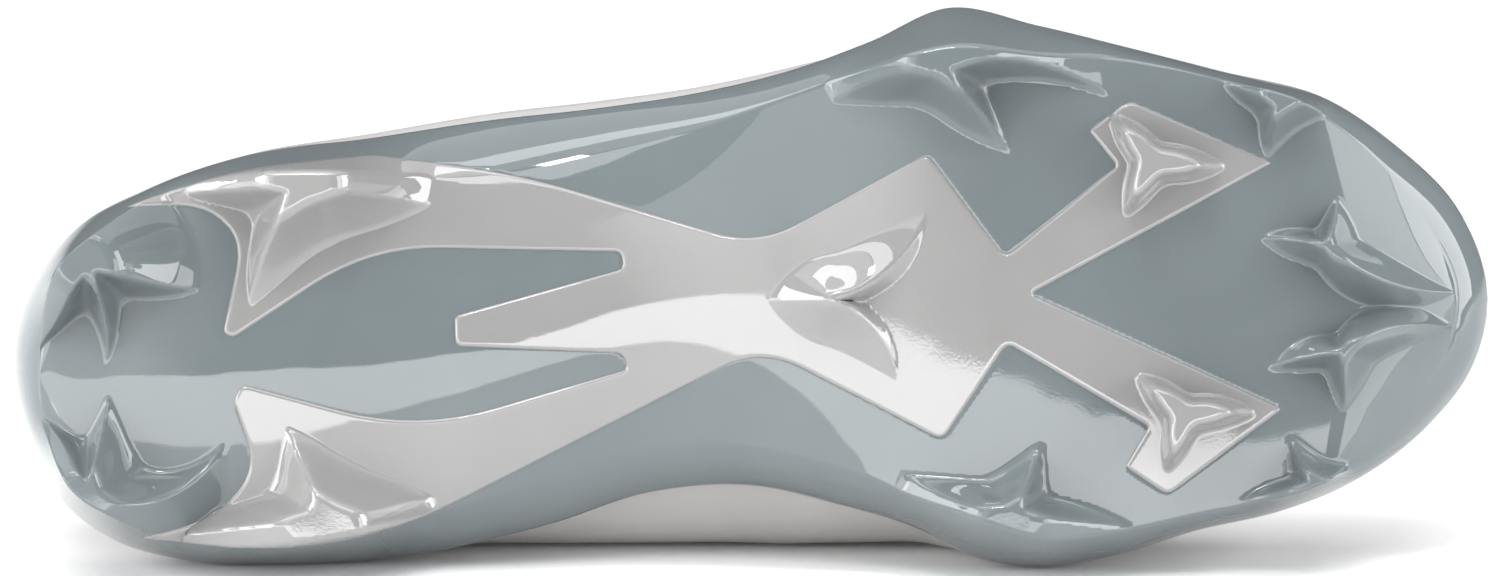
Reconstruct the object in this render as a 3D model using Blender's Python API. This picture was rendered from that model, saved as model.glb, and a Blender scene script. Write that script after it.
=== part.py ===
"""A moulded football cleat, the right shoe, lying on its inner side.

Shoe frame, in millimetres: x runs from the back of the heel to the toe, y from the outer (lateral)
side to the inner (medial) side, and z up from the plane of the stud tips. The finished shoe is then
laid on its inner side: x stays along +X, y points down and z points away along +Y.
"""

from math import atan2, pi, radians

import bmesh
import bpy
import numpy as np
from mathutils import Matrix, Vector

# Driving sizes
MM = 0.001
LENGTH = 288.0
PLATE_WALL = 2.8
UPPER_WALL = 1.8
GAP = 0.35
INSERT_DEPTH = 1.6
INSOLE_THICKNESS = 4.0
INSOLE_INSET = 7.0
INSOLE_CLEARANCE = 0.65
TONGUE_THICKNESS = 3.0
TONGUE_RISE = 22.0
TONGUE_TUCK = 8.0
LACE_WIDTH = 6.0
LACE_THICKNESS = 1.6
LACE_LIFT = 1.1
LACE_STEP = 0.5
EYELET_RADIUS = 2.2
EYELET_ROWS = 6
EYELET_INSET = 7.0
THROAT_TOP = 120.0
THROAT_END = 207.0
EYELET_FIRST = 5.0
EYELET_LAST = 18.0
EDGE_MARGIN = 4.0

# How the shoe lies: leaning on its inner side until plate and upper both touch the floor
LEAN_DEG = 9.3

# How finely the surfaces are divided
FACE_ROWS = 220
FACE_COLUMNS = 66
SIDE_ROWS = 6
PLATE_TRIANGLE_SHARE = 0.033
UPPER_RIB_STEP = 6
SHAPE_SAMPLES = 24
CORNER_STEPS = 4
FLOOR_GRID = (42, 12, 2)
TONGUE_GRID = (12, 9)
INSOLE_GRID = (18, 6)
LACE_STEPS = 6
PUNCH_SIDES = 10
CUT_HEIGHTS = (-15.0, 60.0)
CUT_BASE = -20.0

# The edge of the plate, clockwise from the back of the heel as seen from below. Rim is the top edge of
# the side wall, crest is the line where the side wall meets the bottom face.
PLATE_STATIONS = [
    # name, rim x, rim y, rim z, crest x, crest y
    ("heel back", 0.0, 15.5, 34, 5.4, 15.9),
    ("heel corner lateral", 3.9, -1.4, 33, 8.7, -2.5),
    ("heel lateral", 13.6, -13.2, 31, 16.5, -10.6),
    ("wing lateral", 25.2, -19.4, 30, 26.6, -17.4),
    ("heel side lateral", 44.7, -26.2, 31, 44.9, -21.9),
    ("shank lateral", 69.9, -29.7, 33, 69.9, -22.5),
    ("waist lateral", 93.2, -33.2, 34, 93.2, -21.6),
    ("arch lateral", 114.6, -35.6, 33, 114.6, -25.8),
    ("rear ball lateral", 134.0, -38.6, 31, 134.0, -31.5),
    ("ball rise lateral", 153.4, -43.4, 28, 153.4, -38.3),
    ("ball flank lateral", 167.0, -48.4, 26, 167.0, -43.3),
    ("ball lateral", 182.5, -55.0, 25, 183.5, -47.2),
    ("front ball lateral", 200.0, -51.5, 25, 200.0, -45.8),
    ("vamp lateral", 217.5, -47.3, 26, 217.5, -44.6),
    ("forefoot lateral", 235.0, -42.9, 28, 235.0, -40.9),
    ("toe joint lateral", 256.3, -37.3, 31, 253.4, -35.2),
    ("toe side lateral", 269.9, -28.2, 34, 267.0, -24.3),
    ("toe corner lateral", 281.6, -16.5, 36, 275.9, -12.3),
    ("toe", 288.0, 1.9, 38, 281.2, 1.9),
    ("toe corner medial", 284.5, 15.9, 37, 277.9, 14.3),
    ("toe side medial", 276.7, 26.0, 35, 270.5, 22.9),
    ("toe joint medial", 259.3, 38.5, 31, 256.0, 36.8),
    ("forefoot medial", 246.6, 43.3, 29, 244.7, 40.8),
    ("vamp medial", 231.1, 46.8, 27, 231.1, 43.6),
    ("front ball medial", 213.6, 52.0, 26, 213.6, 47.2),
    ("ball medial", 199.1, 54.0, 26, 200.0, 47.8),
    ("rear ball medial", 187.4, 52.0, 27, 189.3, 44.7),
    ("ball flank medial", 176.7, 46.6, 28, 175.7, 40.2),
    ("arch front medial", 161.2, 41.9, 29, 163.1, 35.0),
    ("arch medial", 143.7, 38.1, 30, 143.7, 30.1),
    ("waist medial", 124.3, 39.4, 31, 124.3, 30.1),
    ("shank medial", 104.9, 45.6, 32, 104.9, 35.9),
    ("wing medial", 81.6, 51.1, 32, 85.4, 42.3),
    ("heel side medial", 52.4, 53.6, 31, 52.4, 49.1),
    ("heel flank medial", 33.0, 52.6, 30, 33.0, 48.6),
    ("heel curve medial", 19.4, 48.7, 31, 21.4, 44.3),
    ("heel medial", 9.7, 41.4, 32, 12.6, 38.9),
    ("heel corner medial", 3.5, 30.1, 33, 7.4, 28.6),
]

# The bottom face along the shoe: its height at the middle and how far its edges rise above that
FACE_PROFILE = [
    # x, height, crown
    (5, 16.0, 1.0),
    (18, 13.2, 2.4),
    (55, 13.0, 3.6),
    (85, 15.5, 4.6),
    (120, 18.0, 4.6),
    (150, 15.5, 2.6),
    (180, 12.4, 1.0),
    (215, 12.2, 0.8),
    (240, 14.6, 1.0),
    (262, 19.6, 1.4),
    (281, 27.5, 1.6),
]

# The upper: how far it swells past the plate's rim, the height of that widest line, and its edge
# along collar and throat, with the slope of the wall where it meets the edge
UPPER_STATIONS = [
    # plate station, swell, wide z, edge x, edge y, edge z, slope
    ("heel back", 0.8, 56, 9.0, 15.5, 92, 88),
    ("heel lateral", 0.2, 52, 22.0, -5.5, 88, 88),
    ("heel side lateral", 0.2, 48, 46.0, -13.0, 77, 84),
    ("shank lateral", 1.0, 46, 68.0, -15.0, 73, 78),
    ("waist lateral", 1.4, 46, 93.0, -13.5, 86, 68),
    ("arch lateral", 1.5, 45, 117.0, -9.0, 103, 52),
    ("rear ball lateral", 1.2, 42, 138.0, -9.5, 96, 44),
    ("ball rise lateral", 0.6, 40, 156.0, -9.5, 89, 40),
    ("ball lateral", -3.6, 38, 180.0, -9.5, 80, 34),
    ("vamp lateral", -1.0, 39, 197.0, -8.5, 73.5, 26),
    ("toe joint lateral", -1.4, 44, 204.5, -4.5, 70.5, 14),
    ("toe", -1.8, 50, THROAT_END, 2.0, 69.5, 6),
    ("toe joint medial", -1.4, 45, 204.5, 8.5, 70.5, 14),
    ("vamp medial", -1.0, 40, 197.0, 12.5, 73.5, 26),
    ("ball medial", -4.4, 45, 180.0, 14.5, 80.5, 34),
    ("ball flank medial", 2.9, 48, 156.0, 17.5, 90, 40),
    ("arch medial", 11.4, 50, 138.0, 20.5, 97.5, 46),
    ("waist medial", 10.1, 50, 117.0, 23.5, 104, 54),
    ("shank medial", 4.0, 50, 93.0, 33.0, 87, 70),
    ("wing medial", -1.5, 50, 68.0, 38.5, 74, 80),
    ("heel side medial", -4.0, 50, 46.0, 40.0, 77, 84),
    ("heel medial", -1.4, 54, 22.0, 35.5, 88, 88),
]

# Half the tongue's width along the shoe
TONGUE_WIDTHS = [
    # x, half width
    (98, 14.5),
    (122, 15.5),
    (150, 20.0),
    (207, 18.0),
    (215, 16.0),
]
TONGUE_DROP = 0.7

# Studs: three curved ridges run from a flat three-armed tip out to their feet in the bottom face. Bend
# is how far, sideways, an arm's middle is pushed off the straight line. Waist is how far the hollow
# side reaches that follows the arm, turning from x towards y. Flat is the tip's share of the whole.
STUDS = [
    # name, tip x, tip y, tip z, flat, (foot x, foot y, bend, waist) three times
    ("heel rear lateral", 14.4, -5.2, 0.0, 0.30,
     ((36.9, 0.0, 1.0, 11.0), (18.6, 14.2, -2.0, 10.0), (4.8, 11.6, -1.0, 20.0))),
    ("heel rear medial", 15.1, 39.2, 0.0, 0.26,
     ((41.8, 29.1, 6.5, 22.0), (6.2, 24.9, 1.0, 11.0), (19.0, 20.4, 0.5, 12.0))),
    ("heel front lateral", 56.7, -20.4, 0.0, 0.30,
     ((82.0, -16.5, 0.0, 13.0), (46.6, 3.4, 1.5, 12.0), (33.5, -18.6, 0.0, 26.0))),
    ("heel front medial", 61.8, 44.4, 0.0, 0.30,
     ((82.5, 40.4, 0.0, 26.0), (27.2, 48.2, 0.0, 13.0), (53.6, 26.4, 0.0, 12.0))),
    ("ball lateral", 180.6, -43.3, 0.0, 0.28,
     ((214.0, -37.3, -4.0, 10.0), (194.4, -26.8, 0.0, 8.5), (159.6, -36.5, 1.5, 26.0))),
    ("ball medial", 194.6, 43.3, 0.0, 0.28,
     ((218.0, 46.2, 0.0, 26.0), (173.0, 35.4, -1.5, 8.0), (200.2, 30.0, 0.5, 8.0))),
    ("toe joint lateral", 246.6, -36.0, 7.0, 0.34,
     ((258.0, -36.0, 0.0, 6.0), (244.3, -25.8, 0.5, 5.0), (235.6, -40.2, 0.0, 14.0))),
    ("toe joint medial", 253.4, 37.6, 7.5, 0.34,
     ((263.5, 35.4, 0.0, 14.0), (238.9, 40.8, 0.0, 5.0), (248.6, 28.6, -0.5, 5.0))),
    ("toe lateral", 255.4, -8.7, 8.5, 0.22,
     ((281.6, 0.4, 2.7, 4.5), (242.6, -10.3, 0.5, 3.6), (257.8, -18.2, 0.5, 7.0))),
    ("toe medial", 258.7, 12.0, 9.0, 0.22,
     ((281.6, 7.8, -2.9, 7.0), (259.4, 23.4, 0.0, 5.0), (244.2, 15.2, 0.5, 3.8))),
    ("arm lateral", 221.4, -25.2, 1.5, 0.70,
     ((236.0, -24.0, 0.4, 5.2), (216.6, -14.4, 0.0, 4.0), (213.6, -34.2, 0.0, 3.8))),
    ("arm medial", 227.8, 24.3, 1.5, 0.70,
     ((241.8, 24.0, -0.4, 4.4), (224.6, 35.4, 0.0, 4.2), (218.8, 16.4, 0.0, 4.0))),
    ("chevron", 160.0, 1.8, 8.5, 0.12,
     ((172.4, 18.0, -2.6, 9.0), (147.0, 1.9, 0.0, 9.0), (178.2, -15.6, 3.0, 6.0))),
]
STUD_POWER = 1.4
STUD_POINT = 2.4
EDGE_SOFT = 0.10

# The side wall's curve from crest to rim, and how fast a stud fades up it
WALL_BELLY_OUT = 0.7
WALL_BELLY_UP = 0.25
STUD_FADE = 1.6

# Where the upper's rows lie on the plate's side, on the swell to the widest line, and up to the edge
SIDE_SHARES = (0.35, 0.7, 1.0)
SWELL_SHARES = (0.5, 1.0)
TOP_SHARES = (0.16, 0.33, 0.5, 0.67, 0.84, 1.0)
SWELL_HANDLE = 0.35
TOP_HANDLE = 0.38
UPPER_CLEARANCE = 0.55

# The instep's smooth surface
SPLINE_SCALE = 50.0
SPLINE_EASE = 1e-5
INSTEP_MARGIN = 6.0
INSTEP_LOWEST = 60.0

# The silver insert's outline, with the radius of each corner, seen from below and clockwise
INSERT_OUTLINE = [
    # x, y, radius
    (21.8, -16.0, 0.6), (37.5, -16.6, 9.0), (45.0, -9.6, 6.0), (41.2, 8.4, 1.4), (43.4, 9.4, 1.2),
    (70.0, -8.4, 14.0), (118.6, -7.4, 1.4), (119.0, -4.2, 1.3), (86.2, 5.0, 1.2), (86.4, 11.0, 1.4),
    (118.8, 12.4, 1.3), (119.8, 15.4, 1.2), (79.0, 27.4, 16.0), (45.0, 18.2, 1.6), (43.2, 21.6, 2.0),
    (47.8, 35.0, 8.0), (39.0, 44.6, 8.0), (25.0, 48.2, 0.8), (52.0, 51.0, 14.0), (75.7, 46.8, 14.0),
    (146.0, 11.2, 9.0), (181.2, 29.4, 2.2), (193.6, 10.4, 1.9), (221.2, 26.6, 1.0), (216.5, 34.4, 1.0),
    (224.9, 40.0, 1.9), (247.4, 23.1, 1.2), (198.2, 0.8, 1.2), (245.5, -24.7, 1.2), (217.2, -36.8, 1.9),
    (209.4, -30.9, 0.9), (215.0, -24.1, 1.0), (193.2, -6.4, 2.0), (178.3, -26.6, 1.8), (145.1, -8.6, 9.0),
    (99.0, -22.6, 12.0), (70.5, -26.4, 2.0), (44.7, -23.6, 10.0), (27.0, -18.0, 2.0),
]
MATERIALS = {
    # name: colour, roughness, metallic
    "grey moulded plastic": ((0.30, 0.34, 0.35, 1.0), 0.12, 0.0),
    "silver moulded plastic": ((0.62, 0.61, 0.60, 1.0), 0.16, 0.0),
    "white synthetic": ((0.86, 0.86, 0.85, 1.0), 0.45, 0.0),
    "white knit": ((0.80, 0.80, 0.79, 1.0), 0.85, 0.0),
    "grey foam": ((0.40, 0.42, 0.43, 1.0), 0.90, 0.0),
    "white lace": ((0.90, 0.90, 0.89, 1.0), 0.80, 0.0),
}


def clear_scene():
    for old in list(bpy.data.objects):
        bpy.data.objects.remove(old, do_unlink=True)


def unit(vectors):
    return vectors / np.linalg.norm(vectors, axis=1)[:, None]


def smooth_values(knots, values, at, period=None):
    """Cubic curve through a table's values; a period closes it into a loop."""
    knots = np.asarray(knots, float)
    values = np.asarray(values, float).reshape(len(knots), -1)
    if period:
        knots = np.concatenate([knots[-2:] - period, knots, knots[:3] + period])
        values = np.concatenate([values[-2:], values, values[:3]])
    slopes = np.gradient(values, knots, axis=0)
    spot = np.clip(np.searchsorted(knots, at, side="right") - 1, 0, len(knots) - 2)
    span = (knots[spot + 1] - knots[spot])[:, None]
    t = (np.asarray(at) - knots[spot])[:, None] / span
    start = values[spot] * (1 + 2 * t) * (1 - t) ** 2 + slopes[spot] * span * t * (1 - t) ** 2
    end = values[spot + 1] * t**2 * (3 - 2 * t) + slopes[spot + 1] * span * t**2 * (t - 1)
    return start + end


def plate_knots():
    """Distance round the rim at each station, and the whole way round."""
    rim = np.array([row[1:3] for row in PLATE_STATIONS])
    steps = np.linalg.norm(np.roll(rim, -1, axis=0) - rim, axis=1)
    return np.concatenate([[0.0], np.cumsum(steps)[:-1]]), steps.sum()


def plate_edge(around):
    """Rim x, y, z and crest x, y at distances round the plate."""
    knots, period = plate_knots()
    table = [row[1:] for row in PLATE_STATIONS]
    return smooth_values(knots, table, np.mod(around, period), period)


def face_profile(x):
    """Height and crown of the bottom face at x."""
    table = np.array(FACE_PROFILE, float)
    x = np.clip(x, table[0, 0], table[-1, 0])
    rows = smooth_values(table[:, 0], table[:, 1:], x)
    return rows[:, 0], rows[:, 1]


def crest_lines():
    """Both halves of the crest as (x, y, distance round), each from heel to toe."""
    knots, period = plate_knots()
    around = np.linspace(0, period, SHAPE_SAMPLES * len(knots), endpoint=False)
    edge = plate_edge(around)
    heel = int(np.argmin(edge[:, 3]))
    around = np.roll(around, -heel)
    edge = np.roll(edge, -heel, axis=0)
    around = np.where(around < around[0], around + period, around)
    toe = int(np.argmax(edge[:, 3]))
    lateral = np.column_stack([edge[: toe + 1, 3:5], around[: toe + 1]])
    closing = [[edge[0, 3], edge[0, 4], around[0] + period]]
    medial = np.concatenate([np.column_stack([edge[toe:, 3:5], around[toe:]]), closing])[::-1]
    return lateral, medial


def stud_depth(points):
    """How far the studs reach below the bare bottom face, down to their flat tips."""
    depth = np.zeros(len(points))
    for _, tip_x, tip_y, tip_z, flat, arms in STUDS:
        across = points[:, :2] - [tip_x, tip_y]
        away = np.hypot(across[:, 0], across[:, 1])
        lengths = [np.hypot(arm[0] - tip_x, arm[1] - tip_y) for arm in arms]
        near = away < max(lengths)
        away = away[near]
        bearing = np.arctan2(across[near, 1], across[near, 0])
        bearings = []
        for (foot_x, foot_y, bend, _), length in zip(arms, lengths):
            swing = 4 * bend / length * (1 - np.minimum(away / length, 1))
            bearings.append(atan2(foot_y - tip_y, foot_x - tip_x) + swing)
        reach = np.full(len(away), 1e-3)
        for k, arm in enumerate(arms):
            after = (k + 1) % 3
            width = np.mod(bearings[after] - bearings[k], 2 * pi)
            share = np.mod(bearing - bearings[k], 2 * pi) / width
            ends = np.where(share < 0.5, lengths[k], lengths[after])
            spread = arm[3] + (ends - arm[3]) * np.abs(1 - 2 * np.minimum(share, 1)) ** STUD_POINT
            reach = np.where(share <= 1, spread, reach)
        height = (1 - away / reach) / (1 - flat)
        rise = np.clip(soft_cap(height), 0, None) ** STUD_POWER
        depth[near] = np.maximum(depth[near], rise * (points[near, 2] - tip_z))
    return depth


def soft_cap(value):
    """Value held to 1, with the corner rounded off over a short stretch."""
    over = np.clip((value - 1 + EDGE_SOFT) / (2 * EDGE_SOFT), 0, 1)
    return np.where(value > 1 + EDGE_SOFT, 1.0, value - over**2 * EDGE_SOFT)


def station_x(first, last, rows):
    """Stations along the shoe, closer together at the rounded ends."""
    t = np.linspace(0, 1, rows + 1)
    eased = (1 - np.cos(pi * t)) / 2
    return first + (last - first) * (0.35 * t + 0.65 * eased)


def plate_surface(rows, columns, side_rows):
    """Vertices and faces of the plate's outer skin without studs, and the depth of its studs.

    The bottom face is a grid of cross rows between the two crests, and the side wall is a ring of rows
    from the crest to the rim.
    """
    lateral, medial = crest_lines()
    xs = station_x(lateral[0, 0], lateral[-1, 0], rows)
    low = np.interp(xs, lateral[:, 0], lateral[:, 1])
    high = np.interp(xs, medial[:, 0], medial[:, 1])
    points = [[xs[0], low[0], 0.0]]
    share = np.linspace(-1, 1, columns + 1)
    for k in range(1, rows):
        middle = (low[k] + high[k]) / 2
        half = (high[k] - low[k]) / 2
        points += [[xs[k], middle + half * e, e * e] for e in share]
    points.append([xs[-1], low[-1], 0.0])
    points = np.array(points)
    height, crown = face_profile(points[:, 0])
    points[0, 2] = points[-1, 2] = 1.0
    points[:, 2] = height + crown * points[:, 2]

    def spot(row, column):
        if row == 0:
            return 0
        if row == rows:
            return len(points) - 1
        return 1 + (row - 1) * (columns + 1) + column

    faces = []
    for row in range(rows):
        for column in range(columns):
            near = [spot(row, column), spot(row + 1, column)]
            corners = near + [spot(row + 1, column + 1), spot(row, column + 1)]
            faces.append([c for k, c in enumerate(corners) if c not in corners[:k]])
    loop = [0] + [spot(k, 0) for k in range(1, rows)] + [len(points) - 1]
    loop += [spot(k, columns) for k in range(rows - 1, 0, -1)]
    around = np.concatenate([
        np.interp(xs, lateral[:, 0], lateral[:, 2]),
        np.interp(xs[1:-1], medial[:, 0], medial[:, 2])[::-1],
    ])
    crest = points[loop]
    rim = plate_edge(around)[:, :3]
    face_depth = stud_depth(points)
    crest_depth = face_depth[loop]
    skin = [points]
    depth = [face_depth]
    previous = loop
    belly = np.array([WALL_BELLY_OUT, WALL_BELLY_OUT, WALL_BELLY_UP])
    corner = crest * (1 - belly) + rim * belly
    for j in range(1, side_rows + 1):
        t = j / side_rows
        ring = crest * (1 - t) ** 2 + corner * 2 * t * (1 - t) + rim * t**2
        first = sum(len(part) for part in skin)
        current = list(range(first, first + len(ring)))
        skin.append(ring)
        depth.append(crest_depth * (1 - t) ** STUD_FADE)
        count = len(loop)
        for i in range(count):
            n = (i + 1) % count
            faces.append([previous[i], current[i], current[n], previous[n]])
        previous = current
    return np.concatenate(skin), faces, np.concatenate(depth), previous


def vertex_normals(points, faces):
    """Unit normals, averaged from the faces round each vertex."""
    normals = np.zeros_like(points)
    for face in faces:
        a, b, c = points[face[0]], points[face[1]], points[face[-1]]
        d = points[face[2]] if len(face) == 4 else c
        normal = np.cross(d - a, c - b)
        if len(face) == 3:
            normal = np.cross(b - a, c - a)
        for corner in face:
            normals[corner] += normal
    return normals / np.linalg.norm(normals, axis=1)[:, None]


def mesh_object(name, points, faces, material):
    mesh = bpy.data.meshes.new(name)
    mesh.from_pydata([Vector(p) * MM for p in points], [], [list(map(int, f)) for f in faces])
    work = bmesh.new()
    work.from_mesh(mesh)
    bmesh.ops.triangulate(work, faces=[face for face in work.faces if len(face.verts) == 4])
    bmesh.ops.recalc_face_normals(work, faces=work.faces)
    work.to_mesh(mesh)
    work.free()
    piece = bpy.data.objects.new(name, mesh)
    bpy.context.scene.collection.objects.link(piece)
    if material:
        mesh.materials.append(MATERIALS[material])
    return piece


def make_materials():
    for name, (colour, roughness, metallic) in list(MATERIALS.items()):
        material = bpy.data.materials.new(name)
        material.use_nodes = True
        shader = material.node_tree.nodes["Principled BSDF"]
        shader.inputs["Base Color"].default_value = colour
        shader.inputs["Roughness"].default_value = roughness
        shader.inputs["Metallic"].default_value = metallic
        material.diffuse_color = colour
        MATERIALS[name] = material


def closed_shell(outer, inner, faces, edge_loops):
    """Join an outer and an inner skin with the same faces along their edge loops."""
    count = len(outer)
    all_faces = [list(face) for face in faces]
    all_faces += [[corner + count for corner in reversed(face)] for face in faces]
    for loop in edge_loops:
        for i, corner in enumerate(loop):
            n = loop[(i + 1) % len(loop)]
            all_faces.append([corner, n, n + count, corner + count])
    return np.concatenate([outer, inner]), all_faces


def cutter(piece):
    piece.hide_render = True
    piece.display_type = "WIRE"
    return piece


def boolean(piece, other, operation):
    step = piece.modifiers.new(operation.lower(), "BOOLEAN")
    step.operation = operation
    step.solver = "EXACT"
    step.object = other


def rounded_outline(corners, grow):
    """Outline moved outwards by grow, with every corner rounded."""
    places = np.array([row[:2] for row in corners])
    radii = [row[2] for row in corners]
    edges = unit(np.roll(places, -1, axis=0) - places)
    following = np.roll(places, -1, axis=0)
    twice_area = np.sum(places[:, 0] * following[:, 1] - following[:, 0] * places[:, 1])
    outward = np.column_stack([edges[:, 1], -edges[:, 0]]) * np.sign(twice_area)
    before_edge = np.roll(outward, 1, axis=0)
    mitre = 1 + np.sum(outward * before_edge, axis=1)
    places = places + (outward + before_edge) / mitre[:, None] * grow
    points = []
    for k, corner in enumerate(places):
        before = places[k - 1] - corner
        after = places[(k + 1) % len(places)] - corner
        cut_before = min(radii[k], np.linalg.norm(before) * 0.45)
        cut_after = min(radii[k], np.linalg.norm(after) * 0.45)
        start = corner + before / np.linalg.norm(before) * cut_before
        end = corner + after / np.linalg.norm(after) * cut_after
        for t in np.linspace(0, 1, CORNER_STEPS):
            points.append(start * (1 - t) ** 2 + corner * 2 * t * (1 - t) + end * t**2)
    return np.array(points)


def prism(name, outline, low, high):
    count = len(outline)
    points = [[*p, low] for p in outline] + [[*p, high] for p in outline]
    faces = [list(range(count)), list(range(2 * count - 1, count - 1, -1))]
    faces += [[i, (i + 1) % count, (i + 1) % count + count, i + count] for i in range(count)]
    return cutter(mesh_object(name, points, faces, None))


def below_skin(name, raised):
    """Everything under the plate's stud-less skin lifted by raised."""
    points, faces, _, rim = plate_surface(*FLOOR_GRID)
    top = points + [0, 0, raised]
    base = points * [1, 1, 0] + [0, 0, CUT_BASE]
    joined, all_faces = closed_shell(base, top, faces, [rim])
    return cutter(mesh_object(name, joined, all_faces, None))


def make_sole():
    points, faces, depth, rim = plate_surface(FACE_ROWS, FACE_COLUMNS, SIDE_ROWS)
    normals = vertex_normals(points, faces)
    if normals[:, 2].mean() < 0:
        normals = -normals
    outer = points - np.column_stack([np.zeros((len(points), 2)), depth])
    shell_points, shell_faces = closed_shell(outer, points + normals * PLATE_WALL, faces, [rim])
    outsole = mesh_object("outsole", shell_points, shell_faces, "grey moulded plastic")
    insert = mesh_object("sole_insert", shell_points, shell_faces, "silver moulded plastic")
    for piece in (outsole, insert):
        step = piece.modifiers.new("fewer faces", "DECIMATE")
        step.ratio = PLATE_TRIANGLE_SHARE
    pocket = prism("pocket", rounded_outline(INSERT_OUTLINE, GAP), *CUT_HEIGHTS)
    boolean(pocket, below_skin("pocket floor", INSERT_DEPTH), "INTERSECT")
    boolean(outsole, pocket, "DIFFERENCE")
    filling = prism("filling", rounded_outline(INSERT_OUTLINE, 0.0), *CUT_HEIGHTS)
    boolean(filling, below_skin("filling top", INSERT_DEPTH - GAP), "INTERSECT")
    boolean(insert, filling, "INTERSECT")


def bezier(a, b, c, d, t):
    return a * (1 - t) ** 3 + b * 3 * t * (1 - t) ** 2 + c * 3 * t**2 * (1 - t) + d * t**3


def upper_ribs(step):
    """The upper's outer skin as ribs, each from inside the plate up to the collar or throat edge."""
    points, faces, _, rim = plate_surface(FACE_ROWS, FACE_COLUMNS, SIDE_ROWS)
    normals = vertex_normals(points, faces)
    if normals[:, 2].mean() < 0:
        normals = -normals
    inside = points + normals * (PLATE_WALL + UPPER_CLEARANCE)
    count = len(rim)
    rings = [inside[len(points) - count * (SIDE_ROWS - j):][:count] for j in range(SIDE_ROWS)]
    chosen = slice(0, count, step)
    foot = [ring[chosen] for ring in rings]
    top_ring = foot[-1]
    lateral, medial = crest_lines()
    xs = station_x(lateral[0, 0], lateral[-1, 0], FACE_ROWS)
    around = np.concatenate([
        np.interp(xs, lateral[:, 0], lateral[:, 2]),
        np.interp(xs[1:-1], medial[:, 0], medial[:, 2])[::-1],
    ])[chosen]
    knots, period = plate_knots()
    names = [row[0] for row in PLATE_STATIONS]
    own = [knots[names.index(row[0])] for row in UPPER_STATIONS]
    table = smooth_values(own, [row[1:] for row in UPPER_STATIONS], np.mod(around, period), period)
    swell, wide_z, edge, slope = table[:, 0], table[:, 1], table[:, 2:5], np.radians(table[:, 5])
    rim_outer = plate_edge(around)
    outward = unit(rim_outer[:, :2] - rim_outer[:, 3:5])
    wide = np.column_stack([rim_outer[:, :2] + outward * swell[:, None], wide_z])
    up = np.array([0, 0, 1.0])
    rows = [foot[round(share * SIDE_ROWS) - 1] for share in SIDE_SHARES]
    along_side = unit(top_ring - foot[-2])
    rise = np.linalg.norm(wide - top_ring, axis=1)[:, None] * SWELL_HANDLE
    for t in SWELL_SHARES:
        rows.append(bezier(top_ring, top_ring + along_side * rise, wide - up * rise, wide, t))
    flat = wide - edge
    flat[:, 2] = 0
    back = unit(flat) * np.cos(slope)[:, None] - up * np.sin(slope)[:, None]
    climb = np.linalg.norm(edge - wide, axis=1)[:, None] * TOP_HANDLE
    for t in TOP_SHARES:
        rows.append(bezier(wide, wide + up * climb, edge + back * climb, edge, t))
    return np.array(rows)


def ring_faces(rows, count):
    faces = []
    for r in range(rows - 1):
        for i in range(count):
            n = (i + 1) % count
            faces.append([r * count + i, r * count + n, (r + 1) * count + n, (r + 1) * count + i])
    return faces


def instep_surface(ribs):
    """A smooth height over the instep, through the upper's skin beside the throat."""
    near = ribs[-4:].reshape(-1, 3)
    near = near[near[:, 0] > THROAT_TOP - INSTEP_MARGIN]
    near = near[near[:, 2] > INSTEP_LOWEST][::2]

    def bend(distance):
        distance = np.maximum(distance / SPLINE_SCALE, 1e-9)
        return distance**2 * np.log(distance)

    flat = near[:, :2]
    count = len(flat)
    system = np.zeros((count + 3, count + 3))
    system[:count, :count] = bend(np.linalg.norm(flat[:, None] - flat[None], axis=2))
    system[:count, count] = system[count, :count] = 1
    system[:count, count + 1:] = flat / SPLINE_SCALE
    system[count + 1:, :count] = flat.T / SPLINE_SCALE
    system[:count, :count] += np.eye(count) * SPLINE_EASE
    weights = np.linalg.solve(system, np.concatenate([near[:, 2], np.zeros(3)]))

    def height(xy):
        xy = np.atleast_2d(xy)
        away = bend(np.linalg.norm(xy[:, None] - flat[None], axis=2))
        tilt = xy @ weights[count + 1:] / SPLINE_SCALE
        return away @ weights[:count] + weights[count] + tilt

    def place(xy, lift):
        """Points above the instep by lift, square to it, with their normals."""
        xy = np.atleast_2d(np.asarray(xy, float))
        step = 0.5
        z = height(xy)
        slope_x = (height(xy + [step, 0]) - height(xy - [step, 0])) / (2 * step)
        slope_y = (height(xy + [0, step]) - height(xy - [0, step])) / (2 * step)
        normal = unit(np.column_stack([-slope_x, -slope_y, np.ones(len(xy))]))
        return np.column_stack([xy, z]) + normal * lift, normal

    return place


def throat_edge(x, side):
    """Where the throat's edge runs at x, with side -1 lateral and +1 medial."""
    ends = (THROAT_TOP - EDGE_MARGIN, THROAT_END - EDGE_MARGIN)
    rows = [row for row in UPPER_STATIONS if ends[0] < row[3] < ends[1]]
    rows = [row for row in rows if (row[4] < 2) == (side < 0)]
    rows.sort(key=lambda row: row[3])
    return np.interp(x, [row[3] for row in rows], [row[4] for row in rows])


def eyelet_places():
    """Lateral and medial hole of each row, from the top of the throat to its end."""
    xs = np.linspace(THROAT_TOP + EYELET_FIRST, THROAT_END - EYELET_LAST, EYELET_ROWS)
    return [[(x, throat_edge(x, side) + side * EYELET_INSET) for side in (-1, 1)] for x in xs]


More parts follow.
